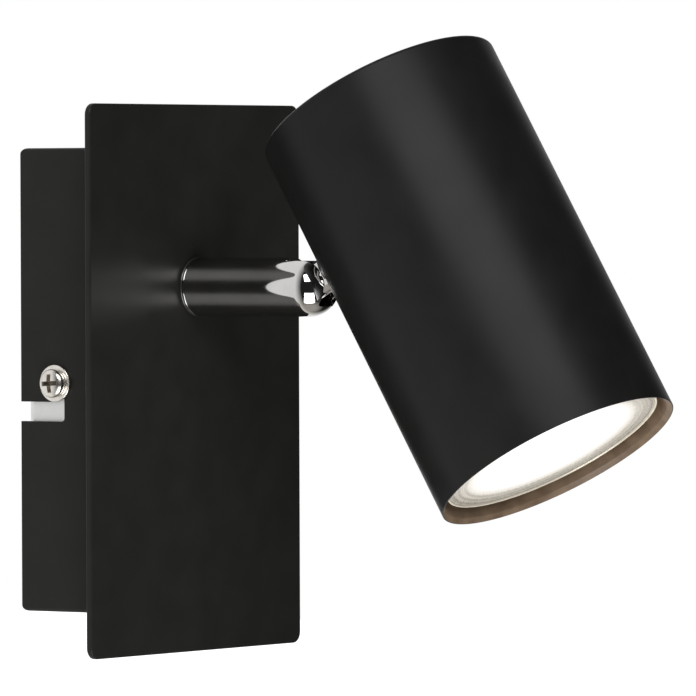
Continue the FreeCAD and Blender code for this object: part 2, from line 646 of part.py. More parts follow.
def holder_screw_places():
    half = HOLDER_SCREW_SPACING / 2
    return [point(0, -AXIS_OFFSET + side * half, HOLDER_BACK) for side in (-1, 1)]


def holder_screws():
    screws = []
    for place in holder_screw_places():
        seat = place + Z_AXIS * HOLDER_BRACKET_THICKNESS
        head = pan_head(seat, Z_AXIS, HOLDER_SCREW_HEAD, HOLDER_SCREW_HEAD_HEIGHT)
        length = HOLDER_BRACKET_THICKNESS + HOLDER_SCREW_DEPTH
        shank = rod(HOLDER_SCREW_DIAMETER / 2, seat, Z_AXIS * -1, length)
        screws.append(head.fuse(shank).removeSplitter())
    return Part.makeCompound(screws)


def pin_way(width, low, high):
    """The room that a pin of this width sweeps as the lamp turns from its entry to its lock."""
    radius = PIN_SPACING / 2
    half = width / 2
    band = ring(radius + half, radius - half, tube_axis(low), Z_AXIS, high - low)
    angle = math.radians(TWIST_ANGLE)
    far = 2 * radius
    wedge = Part.makePolygon([point(0, 0, low), point(far, 0, low),
                              point(far, -far * math.tan(angle), low), point(0, 0, low)])
    sector = Part.Face(wedge).extrude(Z_AXIS * (high - low))
    sector.translate(point(0, -AXIS_OFFSET, 0))
    ways = [band.common(sector)]
    for turn in (0, -angle):
        centre = point(radius * math.cos(turn), -AXIS_OFFSET + radius * math.sin(turn), low)
        ways.append(rod(half, centre, Z_AXIS, high - low))
    way = ways[0].fuse(ways[1:]).removeSplitter()
    other = way.copy()
    other.rotate(tube_axis(0), Z_AXIS, 180)
    return [way, other]


def pin_entry(low, high):
    angle = math.radians(-TWIST_ANGLE)
    radius = PIN_SPACING / 2
    entries = []
    for side in (-1, 1):
        centre = point(side * radius * math.cos(angle), -AXIS_OFFSET + side * radius * math.sin(angle), low)
        entries.append(rod(PIN_HEAD / 2 + MOVING_CLEARANCE, centre, Z_AXIS, high - low))
    return entries


def lampholder():
    """A ceramic body: a round front with two keyhole slots and an oblong back for the screws."""
    disc = rod(HOLDER_DIAMETER / 2, tube_axis(HOLDER_FACE), Z_AXIS, HOLDER_DISC_HEIGHT)
    disc = disc.makeChamfer(HOLDER_CHAMFER, [top_edge(disc, Z_AXIS * -1)])
    outline = rounded_outline(HOLDER_BACK_WIDTH / 2, HOLDER_BACK_LENGTH / 2, HOLDER_BACK_CORNER)
    outline.rotate(point(0, 0, 0), X_AXIS, 90)
    outline.translate(tube_axis(HOLDER_FACE + HOLDER_DISC_HEIGHT / 2))
    back = Part.Face(outline).extrude(Z_AXIS * (HOLDER_HEIGHT - HOLDER_DISC_HEIGHT / 2))
    body = disc.fuse(back).removeSplitter()
    layer_top = HOLDER_FACE + HOLDER_FACE_LAYER
    cuts = pin_way(PIN_NECK + 2 * MOVING_CLEARANCE, HOLDER_FACE, layer_top)
    cuts += pin_entry(HOLDER_FACE, layer_top)
    cuts += pin_way(PIN_HEAD + 2 * MOVING_CLEARANCE, layer_top, CHAMBER_TOP)
    for place in holder_screw_places():
        cuts.append(rod(HOLDER_SCREW_DIAMETER / 2 + THREAD_CLEARANCE, place, Z_AXIS * -1,
                        HOLDER_SCREW_DEPTH))
    for start in head_lead_starts():
        cuts.append(rod(LEAD_DIAMETER / 2 + THREAD_CLEARANCE, start, Z_AXIS,
                        HOLDER_FACE + HOLDER_DISC_HEIGHT - start.z))
    return body.cut(cuts)


def holder_contacts():
    low = CHAMBER_TOP - CONTACT_THICKNESS
    return Part.makeCompound(pin_way(PIN_HEAD - MOVING_CLEARANCE, low, CHAMBER_TOP))


# Lamp -------------------------------------------------------------------------------------

def turned(profile):
    """Turns (radius, height) pairs about the tube's axis."""
    points = [point(radius, -AXIS_OFFSET, height) for radius, height in profile]
    return revolved(points, tube_axis(0), Z_AXIS)


def lamp_body():
    rim = LAMP_DIAMETER / 2
    neck = LAMP_NECK_DIAMETER / 2
    base_front = LAMP_BACK - LAMP_BASE_HEIGHT
    rim_back = LAMP_FRONT + LAMP_RIM_HEIGHT
    lip = rim - BEZEL_WIDTH / 2
    lens_back = LAMP_FRONT + LENS_SETBACK + LENS_THICKNESS
    profile = [(0, base_front), (neck, base_front), (neck, base_front - LAMP_NECK_STEP),
               (rim - BEZEL_WIDTH, rim_back + BEZEL_WIDTH), (rim, rim_back),
               (rim, LAMP_FRONT + BEZEL_HEIGHT), (lip, LAMP_FRONT + BEZEL_HEIGHT),
               (rim - BEZEL_WIDTH, LAMP_FRONT + BEZEL_HEIGHT), (rim - BEZEL_WIDTH, lens_back),
               (0, lens_back)]
    return turned(profile)


def lamp_base():
    radius = LAMP_BASE_DIAMETER / 2
    low = LAMP_BACK - LAMP_BASE_HEIGHT
    return turned([(0, low), (radius, low), (radius, LAMP_BACK - LAMP_BASE_CHAMFER),
                   (radius - LAMP_BASE_CHAMFER, LAMP_BACK), (0, LAMP_BACK)])


def lamp_pins():
    pins = []
    for side in (-1, 1):
        start = point(side * PIN_SPACING / 2, -AXIS_OFFSET, LAMP_BACK)
        neck = rod(PIN_NECK / 2, start, Z_AXIS, PIN_NECK_LENGTH)
        head = rod(PIN_HEAD / 2, start + Z_AXIS * PIN_NECK_LENGTH, Z_AXIS, PIN_HEAD_HEIGHT)
        head = head.makeChamfer(PIN_CHAMFER, [top_edge(head, Z_AXIS)])
        pins.append(neck.fuse(head))
    return Part.makeCompound(pins)


def lamp_lens():
    """A flat lens with three raised rings near its edge."""
    radius = LAMP_DIAMETER / 2 - BEZEL_WIDTH
    face = LAMP_FRONT + LENS_SETBACK
    back = face + LENS_THICKNESS
    profile = [(0, back), (radius, back), (radius, face)]
    for crest in [radius - inset for inset in LENS_RIDGE_FROM_EDGE]:
        profile += [(crest + LENS_RIDGE_HALF_WIDTH, face), (crest, face - LENS_RIDGE_HEIGHT),
                    (crest - LENS_RIDGE_HALF_WIDTH, face)]
    return turned(profile + [(0, face)])


def lamp_bezel():
    outer = LAMP_DIAMETER / 2
    inner = outer - BEZEL_WIDTH
    edge = BEZEL_CHAMFER
    back = LAMP_FRONT + BEZEL_HEIGHT
    return turned([(inner, back), (outer, back), (outer, LAMP_FRONT + edge), (outer - edge, LAMP_FRONT),
                   (inner + edge / 2, LAMP_FRONT), (inner, LAMP_FRONT + edge)])


# Wiring -----------------------------------------------------------------------------------

def pole_places():
    first = -(TERMINAL_POLES - 1) / 2 * TERMINAL_PITCH
    return [first + TERMINAL_PITCH * pole for pole in range(TERMINAL_POLES)]


def block_screw_places():
    return [point(side * TERMINAL_PITCH / 2, 0, 0) for side in (-1, 1)]


def block_screw_seat():
    return -BRACKET_THICKNESS - TERMINAL_SHOULDER


def terminal_axis():
    return -BRACKET_THICKNESS - TERMINAL_AXIS


def terminal_screw_places():
    """The middle of each clamping screw, two to a pole."""
    return [point(x, 0, side * TERMINAL_HEIGHT / 4) for x in pole_places() for side in (-1, 1)]


def terminal_block():
    """A nylon strip of three poles: a shoulder with a rounded tower over each pole's tube."""
    back = -BRACKET_THICKNESS
    front = back - TERMINAL_DEPTH
    half = TERMINAL_HEIGHT / 2
    width = TERMINAL_POLES * TERMINAL_PITCH / 2
    body = block(-width, width, block_screw_seat(), back, -half, half)
    for x in pole_places():
        tower = block(x - TERMINAL_TOWER / 2, x + TERMINAL_TOWER / 2, front, terminal_axis(), -half, half)
        crown = [edge for edge in tower.Edges
                 if abs(edge.CenterOfMass.y - front) < 1e-6 and abs(edge.CenterOfMass.z) < 1e-6]
        body = body.fuse(tower.makeFillet(TERMINAL_TOWER_ROUND, crown))
        body = body.cut(rod(TERMINAL_TUBE / 2, point(x, terminal_axis(), -half), Z_AXIS, 2 * half))
    for place in terminal_screw_places():
        well = rod(TERMINAL_SCREW / 2 + THREAD_CLEARANCE, place + Y_AXIS * front, Y_AXIS,
                   TERMINAL_DEPTH - TERMINAL_AXIS)
        body = body.cut(well)
    for place in block_screw_places():
        seat = place + Y_AXIS * block_screw_seat()
        body = body.cut(rod(BLOCK_SCREW / 2 + THREAD_CLEARANCE, place, Y_AXIS * -1, TERMINAL_DEPTH))
        body = body.cut(rod(BLOCK_SCREW_HEAD / 2 + THREAD_CLEARANCE, seat, Y_AXIS * -1, TERMINAL_DEPTH))
    return body.removeSplitter()


def terminal_clamps():
    """A brass tube for each pole, with two tapped holes."""
    tubes = []
    for x in pole_places():
        start = point(x, terminal_axis(), -TERMINAL_TUBE_LENGTH / 2)
        tube = ring(TERMINAL_TUBE / 2, TERMINAL_BORE / 2, start, Z_AXIS, TERMINAL_TUBE_LENGTH)
        for place in terminal_screw_places():
            tube = tube.cut(rod(TERMINAL_SCREW / 2 + THREAD_CLEARANCE, place + Y_AXIS * terminal_axis(),
                                Y_AXIS * -1, TERMINAL_TUBE))
        tubes.append(tube)
    return Part.makeCompound(tubes)


def slotted(shape, start, diameter):
    """Cuts a screwdriver slot across the end of a screw that starts there."""
    drive = block(start.x - diameter, start.x + diameter, start.y, start.y + DRIVE_SLOT_DEPTH,
                  start.z - DRIVE_SLOT_WIDTH / 2, start.z + DRIVE_SLOT_WIDTH / 2)
    return shape.cut(drive)


def terminal_screws():
    top = -BRACKET_THICKNESS - TERMINAL_DEPTH + TERMINAL_SCREW_SINK
    reach = terminal_axis() - TERMINAL_BORE / 2 + TERMINAL_SCREW_BITE - top
    screws = []
    for place in terminal_screw_places():
        start = place + Y_AXIS * top
        screws.append(slotted(rod(TERMINAL_SCREW / 2, start, Y_AXIS, reach), start, TERMINAL_SCREW))
    return Part.makeCompound(screws)


def block_screws():
    """Two long screws that hold the terminal block to the bracket."""
    seat = block_screw_seat()
    screws = []
    for place in block_screw_places():
        head = place + Y_AXIS * (seat - BLOCK_SCREW_HEAD_HEIGHT)
        cap = rod(BLOCK_SCREW_HEAD / 2, head, Y_AXIS, BLOCK_SCREW_HEAD_HEIGHT)
        shank = rod(BLOCK_SCREW / 2, place + Y_AXIS * seat, Y_AXIS, -seat)
        screws.append(slotted(cap, head, BLOCK_SCREW_HEAD).fuse(shank))
    return Part.makeCompound(screws)


def earth_place(height):
    return point(EARTH_X, PANEL_INSIDE + height, EARTH_Z)


def earth_stud():
    flange = rod(EARTH_FLANGE / 2, earth_place(0), Y_AXIS, EARTH_FLANGE_THICKNESS)
    return flange.fuse(rod(EARTH_STUD_DIAMETER / 2, earth_place(0), Y_AXIS, EARTH_STUD_LENGTH))


def earth_tag():
    """A ring tag with a crimped barrel that holds the end of the earth lead."""
    start = earth_place(EARTH_FLANGE_THICKNESS)
    eye = rod(EARTH_TAG_EYE / 2, start, Y_AXIS, EARTH_TAG_THICKNESS)
    barrel_start = point(EARTH_X, earth_lead_depth(), EARTH_Z + EARTH_BARREL_REACH)
    neck = block(EARTH_X - EARTH_TAG_NECK / 2, EARTH_X + EARTH_TAG_NECK / 2, start.y,
                 start.y + EARTH_TAG_THICKNESS, EARTH_Z, barrel_start.z + EARTH_BARREL_LENGTH / 2)
    barrel = rod(EARTH_BARREL_DIAMETER / 2, barrel_start, Z_AXIS, EARTH_BARREL_LENGTH)
    tag = eye.fuse([neck, barrel])
    hole = rod(EARTH_STUD_DIAMETER / 2 + THREAD_CLEARANCE, start, Y_AXIS, EARTH_TAG_THICKNESS)
    bore = rod(LEAD_DIAMETER / 2, barrel_start, Z_AXIS, EARTH_BARREL_LENGTH)
    return tag.cut([hole, bore]).removeSplitter()


def earth_lead_depth():
    return PANEL_INSIDE + EARTH_FLANGE_THICKNESS + EARTH_TAG_THICKNESS / 2 + LEAD_DIAMETER / 2


def earth_washer():
    start = earth_place(EARTH_FLANGE_THICKNESS + EARTH_TAG_THICKNESS)
    return ring(EARTH_WASHER / 2, EARTH_STUD_DIAMETER / 2 + THREAD_CLEARANCE, start, Y_AXIS,
                EARTH_WASHER_THICKNESS)


def earth_nut():
    start = earth_place(EARTH_FLANGE_THICKNESS + EARTH_TAG_THICKNESS + EARTH_WASHER_THICKNESS)
    nut = hexagon(EARTH_NUT_ACROSS_FLATS, start, Y_AXIS, EARTH_NUT_THICKNESS)
    return nut.cut(rod(EARTH_STUD_DIAMETER / 2 + THREAD_CLEARANCE, start, Y_AXIS, EARTH_NUT_THICKNESS))


def earth_lead():
    """From the tag's barrel down, across and up into the middle pole."""
    depth = earth_lead_depth()
    low = -TERMINAL_HEIGHT / 2 - LEAD_DROP
    points = [point(EARTH_X, depth, EARTH_Z + EARTH_BARREL_REACH), point(EARTH_X, depth, low),
              point(0, terminal_axis(), low), point(0, terminal_axis(), -TERMINAL_HEIGHT / 4)]
    return lead(points, LEAD_DIAMETER, LEAD_BEND)


def lead_pair():
    """How far each of the two leads lies from the middle of a bore."""
    return LEAD_DIAMETER / 2 + MOVING_CLEARANCE / 2


def supply_leads():
    """From the outer poles up and into the hollow nipple."""
    y = terminal_axis()
    near = lead_pair()
    points = [point(TERMINAL_PITCH, y, TERMINAL_HEIGHT / 4),
              point(TERMINAL_PITCH, y, ARM_HEIGHT - 2 * LEAD_BEND), point(near, y, ARM_HEIGHT),
              point(near, nipple_inner_end(), ARM_HEIGHT)]
    return mirrored(lead(points, LEAD_DIAMETER, LEAD_BEND))


def arm_leads():
    near = lead_pair()
    end = nipple_inner_end() - FACE_CLEARANCE
    length = end - PIVOT_Y - SLOT_DEPTH - LEAD_DIAMETER / 2
    return mirrored(rod(LEAD_DIAMETER / 2, point(near, end, ARM_HEIGHT), Y_AXIS * -1, length))


def head_lead_starts():
    x = HOLDER_DIAMETER / 2 - HEAD_LEAD_FROM_EDGE
    low = HOLDER_FACE + HOLDER_DISC_HEIGHT - LEAD_DIAMETER
    return [point(side * x, -AXIS_OFFSET, low) for side in (-1, 1)]


def head_leads():
    """Each lead leaves the holder, loops past its bracket and enters the hollow stub."""
    start = head_lead_starts()[1]
    loop = HOLDER_BACK + 2 * LEAD_BEND
    between = -(TONGUE_STUB_END + LEAD_BEND + LEAD_DIAMETER)
    near = HEAD_LEAD_DIAMETER / 2 + FACE_CLEARANCE
    points = [start, point(start.x, start.y, loop), point(start.x, between, 0),
              point(near, between, 0), point(near, -TONGUE_COLLAR_START, 0)]
    return mirrored(lead(points, HEAD_LEAD_DIAMETER, LEAD_BEND))


# Output -----------------------------------------------------------------------------------

FIXED = (front_plate, canopy_box, side_screws, side_washers, wall_bracket, arm_spacer,
         swivel_nipple, stop_washer, spring_washer, lock_nut, swivel_arm, pivot_screw,
         pivot_washers, terminal_block, terminal_clamps, terminal_screws, block_screws, earth_stud,
         earth_tag, earth_washer, earth_nut, earth_lead, supply_leads, arm_leads)
TILTED = (head_tongue, tongue_nut, spotlight_tube, holder_bracket, holder_screws, lampholder,
          holder_contacts, lamp_body, lamp_base, lamp_pins, lamp_lens, lamp_bezel, head_leads)


def main():
    os.makedirs("parts", exist_ok=True)
    for make in FIXED:
        make().exportStep("parts/" + make.__name__ + ".step")
    for make in TILTED:
        tilted(make()).exportStep("parts/" + make.__name__ + ".step")


main()
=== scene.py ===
import json
import math

import bmesh
import bpy
from mathutils import Matrix, Vector


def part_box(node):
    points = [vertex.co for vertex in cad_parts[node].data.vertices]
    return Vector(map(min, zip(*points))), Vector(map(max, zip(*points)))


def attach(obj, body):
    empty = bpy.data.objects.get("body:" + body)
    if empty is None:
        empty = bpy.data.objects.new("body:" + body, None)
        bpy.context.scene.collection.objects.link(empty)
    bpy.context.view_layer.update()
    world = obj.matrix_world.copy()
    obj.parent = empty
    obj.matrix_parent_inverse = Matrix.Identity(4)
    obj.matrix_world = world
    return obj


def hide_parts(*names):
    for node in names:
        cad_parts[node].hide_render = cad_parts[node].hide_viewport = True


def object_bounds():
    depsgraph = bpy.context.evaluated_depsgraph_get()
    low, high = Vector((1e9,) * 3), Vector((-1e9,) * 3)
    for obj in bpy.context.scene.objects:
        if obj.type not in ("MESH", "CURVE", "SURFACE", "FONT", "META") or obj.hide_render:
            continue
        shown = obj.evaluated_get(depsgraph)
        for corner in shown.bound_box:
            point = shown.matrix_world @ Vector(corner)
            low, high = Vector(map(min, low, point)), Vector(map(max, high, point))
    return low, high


# Looks of the wall spotlight. Metres, in the part's own frame: X to the right, -Y into the
# room, +Z up, the wall at Y = 0.
MM = 0.001

# Fine sizes that the finish adds to the solids
PLATE_EDGE_ROUND = 0.40 * MM
PLATE_CORNER = 2.5 * MM
TUBE_WALL = 1.2 * MM
TUBE_TOP_ROUND = 0.8 * MM
TUBE_LIP = 0.25 * MM
TUBE_LIP_ROUND = 0.10 * MM
TUBE_LIP_TAPER = 1.0 * MM
TUBE_TAPER_ROUND = 0.6 * MM
TUBE_FLOOR_ROUND = 0.4 * MM
ARM_BEAD = 0.11 * MM
ARM_BEAD_SINK = 0.044 * MM
ARM_SKIRT = 0.38 * MM
ARM_SKIRT_WALL = 0.55 * MM
ARM_GROOVE = 0.20 * MM
ARM_GROOVE_RISE = 0.12 * MM
ARM_BORE = 7.0 * MM
SPACER_STEP = 0.35 * MM
SPACER_WAIST = 0.7 * MM
SPACER_BORE_RADIUS = 5.1 * MM
SPACER_BACK_ROUND = 0.08 * MM
KNUCKLE_SLOT = 6.0 * MM
SLOT_CORNER = 0.8 * MM
SLOT_DEPTH = 4.2 * MM
TONGUE_COLLAR = 10.4 * MM
TONGUE_COLLAR_START = 6.8 * MM
TONGUE_COLLAR_ROUND = 0.9 * MM
TONGUE_STUB = 6.0 * MM
TONGUE_STUB_ROUND = 0.3 * MM
TONGUE_CHEEK_GAP = 0.2 * MM
TONGUE_TUBE_GAP = 0.05 * MM
WIRE_BORE = 3.4 * MM
WIRE_BORE_START = 2.1 * MM
PIN_SEAT = 1.6 * MM
PIN_HEAD_ROOM = 5.4 * MM
PIN_BORE = 3.1 * MM
PIN_HEAD_HEIGHT = 1.3 * MM
PIN_SHANK_RADIUS = 1.5 * MM
SIDE_SHANK_RADIUS = 2.0 * MM
SIDE_SHANK_LENGTH = 6.0 * MM
WASHER_ROUND = 0.2 * MM
WASHER_BORE_RADIUS = 2.05 * MM
BEZEL_RIM = 0.5 * MM
BEZEL_ROUND = 0.24 * MM
LENS_RIDGES = (0.8 * MM, 2.0 * MM, 3.6 * MM)
LENS_RIDGE_HEIGHT = 0.3 * MM
LENS_RIDGE_HALF_WIDTH = 0.5 * MM
LENS_WAVE = 0.5 * MM

# Where the pivot screw's bore starts and ends, as shares of the arm's radius
PIN_BORE_REACH = (-0.8, 1.5)
# How far each kind of cross recess is turned, in degrees
SIDE_CROSS_TURN = 3.0
PIN_CROSS_TURN = 30.0

# A screw's tip, head and cross recess, as shares of its radius and height
SHANK_TIP = (0.8, 0.3)
HEAD_CHAMFER = (0.985, 0.05)
DOME_FOOT = 0.30
DOME_POWER = 0.35
CROSS_MOUTH = (0.70, 0.165, 1.02)
CROSS_FLOOR = (0.42, 0.12, 0.35)
CROSS_REACH = 0.8
# How far below the head's top the recess faces start to get painted shade, in metres
CROSS_SHADE = 0.03 * MM

# Steps round a whole turn, and in the arcs of a profile
TUBE_STEPS = 384
FINE_STEPS = 256
TURN_STEPS = 192
SCREW_STEPS = 128
STUB_STEPS = 96
BORE_STEPS = 64
HOLE_STEPS = 48
EDGE_STEPS = 5
SLOT_CORNER_STEPS = 6
BEAD_STEPS = 12
BAR_STEPS = 24
ARM_BALL_STEPS = 48
TONGUE_BALL_STEPS = 32
DOME_STEPS = 20

# Edges sharper than this, in degrees, are shaded sharp
SHARP_ANGLE = 32.0
LENS_SHARP_ANGLE = 50.0

# How far a cutting tool reaches past what it cuts
CUT_MARGIN = 20.0 * MM

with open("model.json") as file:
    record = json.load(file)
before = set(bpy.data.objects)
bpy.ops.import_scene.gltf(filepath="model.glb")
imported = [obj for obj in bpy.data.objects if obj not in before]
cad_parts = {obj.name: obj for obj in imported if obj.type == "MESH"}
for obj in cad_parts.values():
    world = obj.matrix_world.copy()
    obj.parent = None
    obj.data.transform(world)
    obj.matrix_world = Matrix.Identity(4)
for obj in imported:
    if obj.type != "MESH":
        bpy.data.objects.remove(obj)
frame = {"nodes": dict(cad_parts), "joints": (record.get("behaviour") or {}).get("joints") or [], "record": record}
cad_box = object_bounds()
nodes = frame["nodes"]
joints = {joint["name"]: joint for joint in frame["joints"]}


# Places read from the frame ------------------------------------------------------------------

def joint_place(name):
    return Vector(joints[name]["pos_m"])


def joint_axis(name):
    return Vector(joints[name]["axis"]).normalized()


PIVOT = joint_place("head_tilt")
TUBE_AXIS = joint_axis("lamp_twist")
X_AXIS = Vector((1, 0, 0))
# The head's own frame: pivot at the origin, Z along the tube towards its closed end.
HEAD_AXES = Matrix((X_AXIS, TUBE_AXIS.cross(X_AXIS), TUBE_AXIS)).transposed()
HEAD = Matrix.Translation(PIVOT) @ HEAD_AXES.to_4x4()
# The arm's own frame: pivot at the origin, Z out of the wall.
QUARTER_X = Matrix.Rotation(math.radians(90), 4, "X")
QUARTER_Y = Matrix.Rotation(math.radians(90), 4, "Y")
ARM = Matrix.Translation(PIVOT) @ QUARTER_X


def node_box(name, place):
    """Lowest and highest corner of a node, measured in another frame."""
    back = place.inverted()
    points = [back @ vertex.co for vertex in nodes[name].data.vertices]
    low = Vector([min(point[k] for point in points) for k in range(3)])
    high = Vector([max(point[k] for point in points) for k in range(3)])
    return low, high


def node_radius(name, place):
    """Half of a round node's width along the X axis of a frame."""
    low, high = node_box(name, place)
    return (high.x - low.x) / 2


# Mesh tools ----------------------------------------------------------------------------------

def shade(mesh, sharp):
    """Smooth shading that breaks at edges sharper than this angle."""
    mesh.polygons.foreach_set("use_smooth", [True] * len(mesh.polygons))
    mesh.set_sharp_from_angle(angle=math.radians(sharp))


def from_bmesh(name, bm, sharp=SHARP_ANGLE):
    """A new object from a bmesh, which is freed."""
    bmesh.ops.recalc_face_normals(bm, faces=bm.faces)
    mesh = bpy.data.meshes.new(name)
    bm.to_mesh(mesh)
    bm.free()
    shade(mesh, sharp)
    piece = bpy.data.objects.new(name, mesh)
    bpy.context.scene.collection.objects.link(piece)
    return piece


def arc_angles(degrees, steps):
    """Even angles from zero to this one, in radians."""
    return [math.radians(degrees * step / steps) for step in range(steps + 1)]


def rounded(corners, steps=6):
    """A chain of (x, y, radius) corners with each corner turned into an arc."""
    chain = []
    for index, (x, y, radius) in enumerate(corners):
        here = Vector((x, y))
        if radius <= 0 or index in (0, len(corners) - 1):
            chain.append(here)
            continue
        before = (Vector(corners[index - 1][:2]) - here).normalized()
        after = (Vector(corners[index + 1][:2]) - here).normalized()
        half = before.angle(after) / 2
        centre = here + (before + after).normalized() * (radius / math.sin(half))
        start = here + before * (radius / math.tan(half)) - centre
        end = here + after * (radius / math.tan(half)) - centre
        sweep = start.angle_signed(end)
        for step in range(steps + 1):
            turn = -sweep * step / steps
            arm = Vector((start.x * math.cos(turn) - start.y * math.sin(turn),
                          start.x * math.sin(turn) + start.y * math.cos(turn)))
            chain.append(centre + arm)
    return chain


def wall_between(bm, one, other):
    """Joins two closed loops of as many points by four-sided faces."""
    for index in range(len(one)):
        after = (index + 1) % len(one)
        bm.faces.new((one[index], one[after], other[after], other[index]))


def lathe(name, chain, place, steps=TURN_STEPS, closed=False, sharp=SHARP_ANGLE, inner_from=None):
    """Turns a chain of (radius, height) points about the Z axis of a frame.

    A closed chain's end joins its start. Faces from the chain's point inner_from onwards get the
    piece's second material."""
    bm = bmesh.new()
    rings = []
    for radius, height in chain:
        if radius < 1e-7:
            rings.append([bm.verts.new(place @ Vector((0, 0, height)))])
            continue
        circle = []
        for step in range(steps):
            angle = 2 * math.pi * step / steps
            circle.append(bm.verts.new(place @ Vector((radius * math.cos(angle),
                                                       radius * math.sin(angle), height))))
        rings.append(circle)
    pairs = list(zip(rings, rings[1:]))
    if closed:
        pairs.append((rings[-1], rings[0]))
    for index, (one, other) in enumerate(pairs):
        if len(one) == 1 and len(other) == 1:
            continue
        for step in range(steps):
            after = (step + 1) % steps
            if len(one) == 1:
                face = bm.faces.new((one[0], other[step], other[after]))
            elif len(other) == 1:
                face = bm.faces.new((one[step], other[0], one[after]))
            else:
                face = bm.faces.new((one[step], other[step], other[after], one[after]))
            if inner_from is not None and index >= inner_from:
                face.material_index = 1
    return from_bmesh(name, bm, sharp)


def rod(name, radius, start, end, place, steps):
    """A plain round rod along the Z axis of a frame."""
    return lathe(name, [(0, start), (radius, start), (radius, end), (0, end)], place, steps)


def rectangle(half_width, half_height, radius, steps=8):
    """A closed rectangle with round corners, as (x, z) pairs."""
    points = []
    for sx, sz, first in ((1, 1, 0), (-1, 1, 90), (-1, -1, 180), (1, -1, 270)):
        for step in range(steps + 1):
            angle = math.radians(first + 90 * step / steps)
            points.append((sx * (half_width - radius) + radius * math.cos(angle),
                           sz * (half_height - radius) + radius * math.sin(angle)))
    return points


def prism(name, outline, start, end, place):
    """A straight prism on an outline of (x, y) pairs in a frame, from one height to another."""
    bm = bmesh.new()
    low = [bm.verts.new(place @ Vector((x, y, start))) for x, y in outline]
    high = [bm.verts.new(place @ Vector((x, y, end))) for x, y in outline]
    bm.faces.new(low)
    bm.faces.new(high)
    wall_between(bm, low, high)
    return from_bmesh(name, bm)


def carve(piece, cutters, operation="DIFFERENCE"):
    """Cuts pieces out of another, or joins or crosses them with it, and deletes them."""
    for cutter in cutters:
        tool = piece.modifiers.new("cut", "BOOLEAN")
        tool.solver = "EXACT"
        tool.operation = operation
        tool.object = cutter
    bpy.context.view_layer.update()
    graph = bpy.context.evaluated_depsgraph_get()
    mesh = bpy.data.meshes.new_from_object(piece.evaluated_get(graph))
    piece.modifiers.clear()
    piece.data = mesh
    shade(mesh, SHARP_ANGLE)
    for cutter in cutters:
        bpy.data.objects.remove(cutter)


def finish_piece(piece, body, slot, node, material=None, second=None):
    """Puts a piece on its body and hides the node that it stands for.

    Its material is its slot's finish or one of its own, and a second one is for marked faces."""
    piece.data.materials.append(material or FINISH[slot])
    if second is not None:
        piece.data.materials.append(second)
    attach(piece, body)
    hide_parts(node)


# Materials -----------------------------------------------------------------------------------

PLATE_TONES = ((0.0148, 0.0146, 0.0132), (0.0172, 0.0169, 0.0154))
PLATE_ROUGH = (0.29, 0.35)
TUBE_TONES = ((0.0100, 0.0096, 0.0094), (0.0118, 0.0114, 0.0111))
TUBE_ROUGH = (0.36, 0.42)
PAINT_IOR = 1.22
WASHER_IOR = 2.0

# The lit lens: (share of its radius, brightness), dimming in rings towards its edge
GLOW_LEVELS = ((0.0, 1.0), (0.600, 1.0), (0.710, 0.78), (0.785, 0.60), (0.824, 0.34), (0.853, 0.46),
               (0.885, 0.24), (0.917, 0.38), (0.943, 0.13), (0.966, 0.30), (1.0, 0.10))
GLOW_STRENGTH = 1.15
# How much green and blue it loses where it is dim
GLOW_WARMTH = (0.10, 0.25)
EARTH_STRIPE_SCALE = 150.0


def shader(name):
    """A new material with its node tree and its Principled shader."""
    material = bpy.data.materials.new(name)
    material.use_nodes = True
    return material, material.node_tree, material.node_tree.nodes["Principled BSDF"]


def object_noise(tree, size, detail=3.0, roughness=0.5):
    """Noise in the object's own space whose grain has this size in metres."""
    place = tree.nodes.new("ShaderNodeTexCoord")
    noise = tree.nodes.new("ShaderNodeTexNoise")
    noise.inputs["Scale"].default_value = 1 / size
    noise.inputs["Detail"].default_value = detail
    noise.inputs["Roughness"].default_value = roughness
    tree.links.new(place.outputs["Object"], noise.inputs["Vector"])
    return noise


def remap(tree, source, low, high, from_low=0.3, from_high=0.7):
    """Runs from low to high as a value runs over its own range, and stops at both."""
    scale = tree.nodes.new("ShaderNodeMapRange")
    scale.inputs["From Min"].default_value = from_low
    scale.inputs["From Max"].default_value = from_high
    scale.inputs["To Min"].default_value = low
    scale.inputs["To Max"].default_value = high
    tree.links.new(source, scale.inputs["Value"])
    return scale.outputs["Result"]


def join_values(tree, operation, one, other):
    """One value worked out from two by a Math node."""
    node = tree.nodes.new("ShaderNodeMath")
    node.operation = operation
    tree.links.new(one, node.inputs[0])
    tree.links.new(other, node.inputs[1])
    return node.outputs["Value"]


def two_tone(tree, source, one, other, from_low=0.35, from_high=0.65):
    """A colour that runs between two by a noise value."""
    mix = tree.nodes.new("ShaderNodeMix")
    mix.data_type = "RGBA"
    mix.inputs["A"].default_value = (*one, 1)
    mix.inputs["B"].default_value = (*other, 1)
    tree.links.new(remap(tree, source, 0, 1, from_low, from_high), mix.inputs["Factor"])
    return mix.outputs["Result"]


def bump(tree, source, depth):
    """A surface normal that follows a value up to this depth in metres."""
    node = tree.nodes.new("ShaderNodeBump")
    node.inputs["Distance"].default_value = depth
    tree.links.new(source, node.inputs["Height"])
    return node.outputs["Normal"]


def surface(name, dark, light, patch, rough, grain, depth, metallic=0.0, ior=1.45):
    """A procedural surface whose colour and roughness vary by patches, with a fine grain."""
    material, tree, bsdf = shader(name)
    patches = object_noise(tree, patch)
    grains = object_noise(tree, grain, detail=2.0)
    tree.links.new(two_tone(tree, patches.outputs["Fac"], dark, light), bsdf.inputs["Base Color"])
    tree.links.new(remap(tree, patches.outputs["Fac"], *rough), bsdf.inputs["Roughness"])
    tree.links.new(bump(tree, grains.outputs["Fac"], depth), bsdf.inputs["Normal"])
    bsdf.inputs["Metallic"].default_value = metallic
    bsdf.inputs["IOR"].default_value = ior
    return material


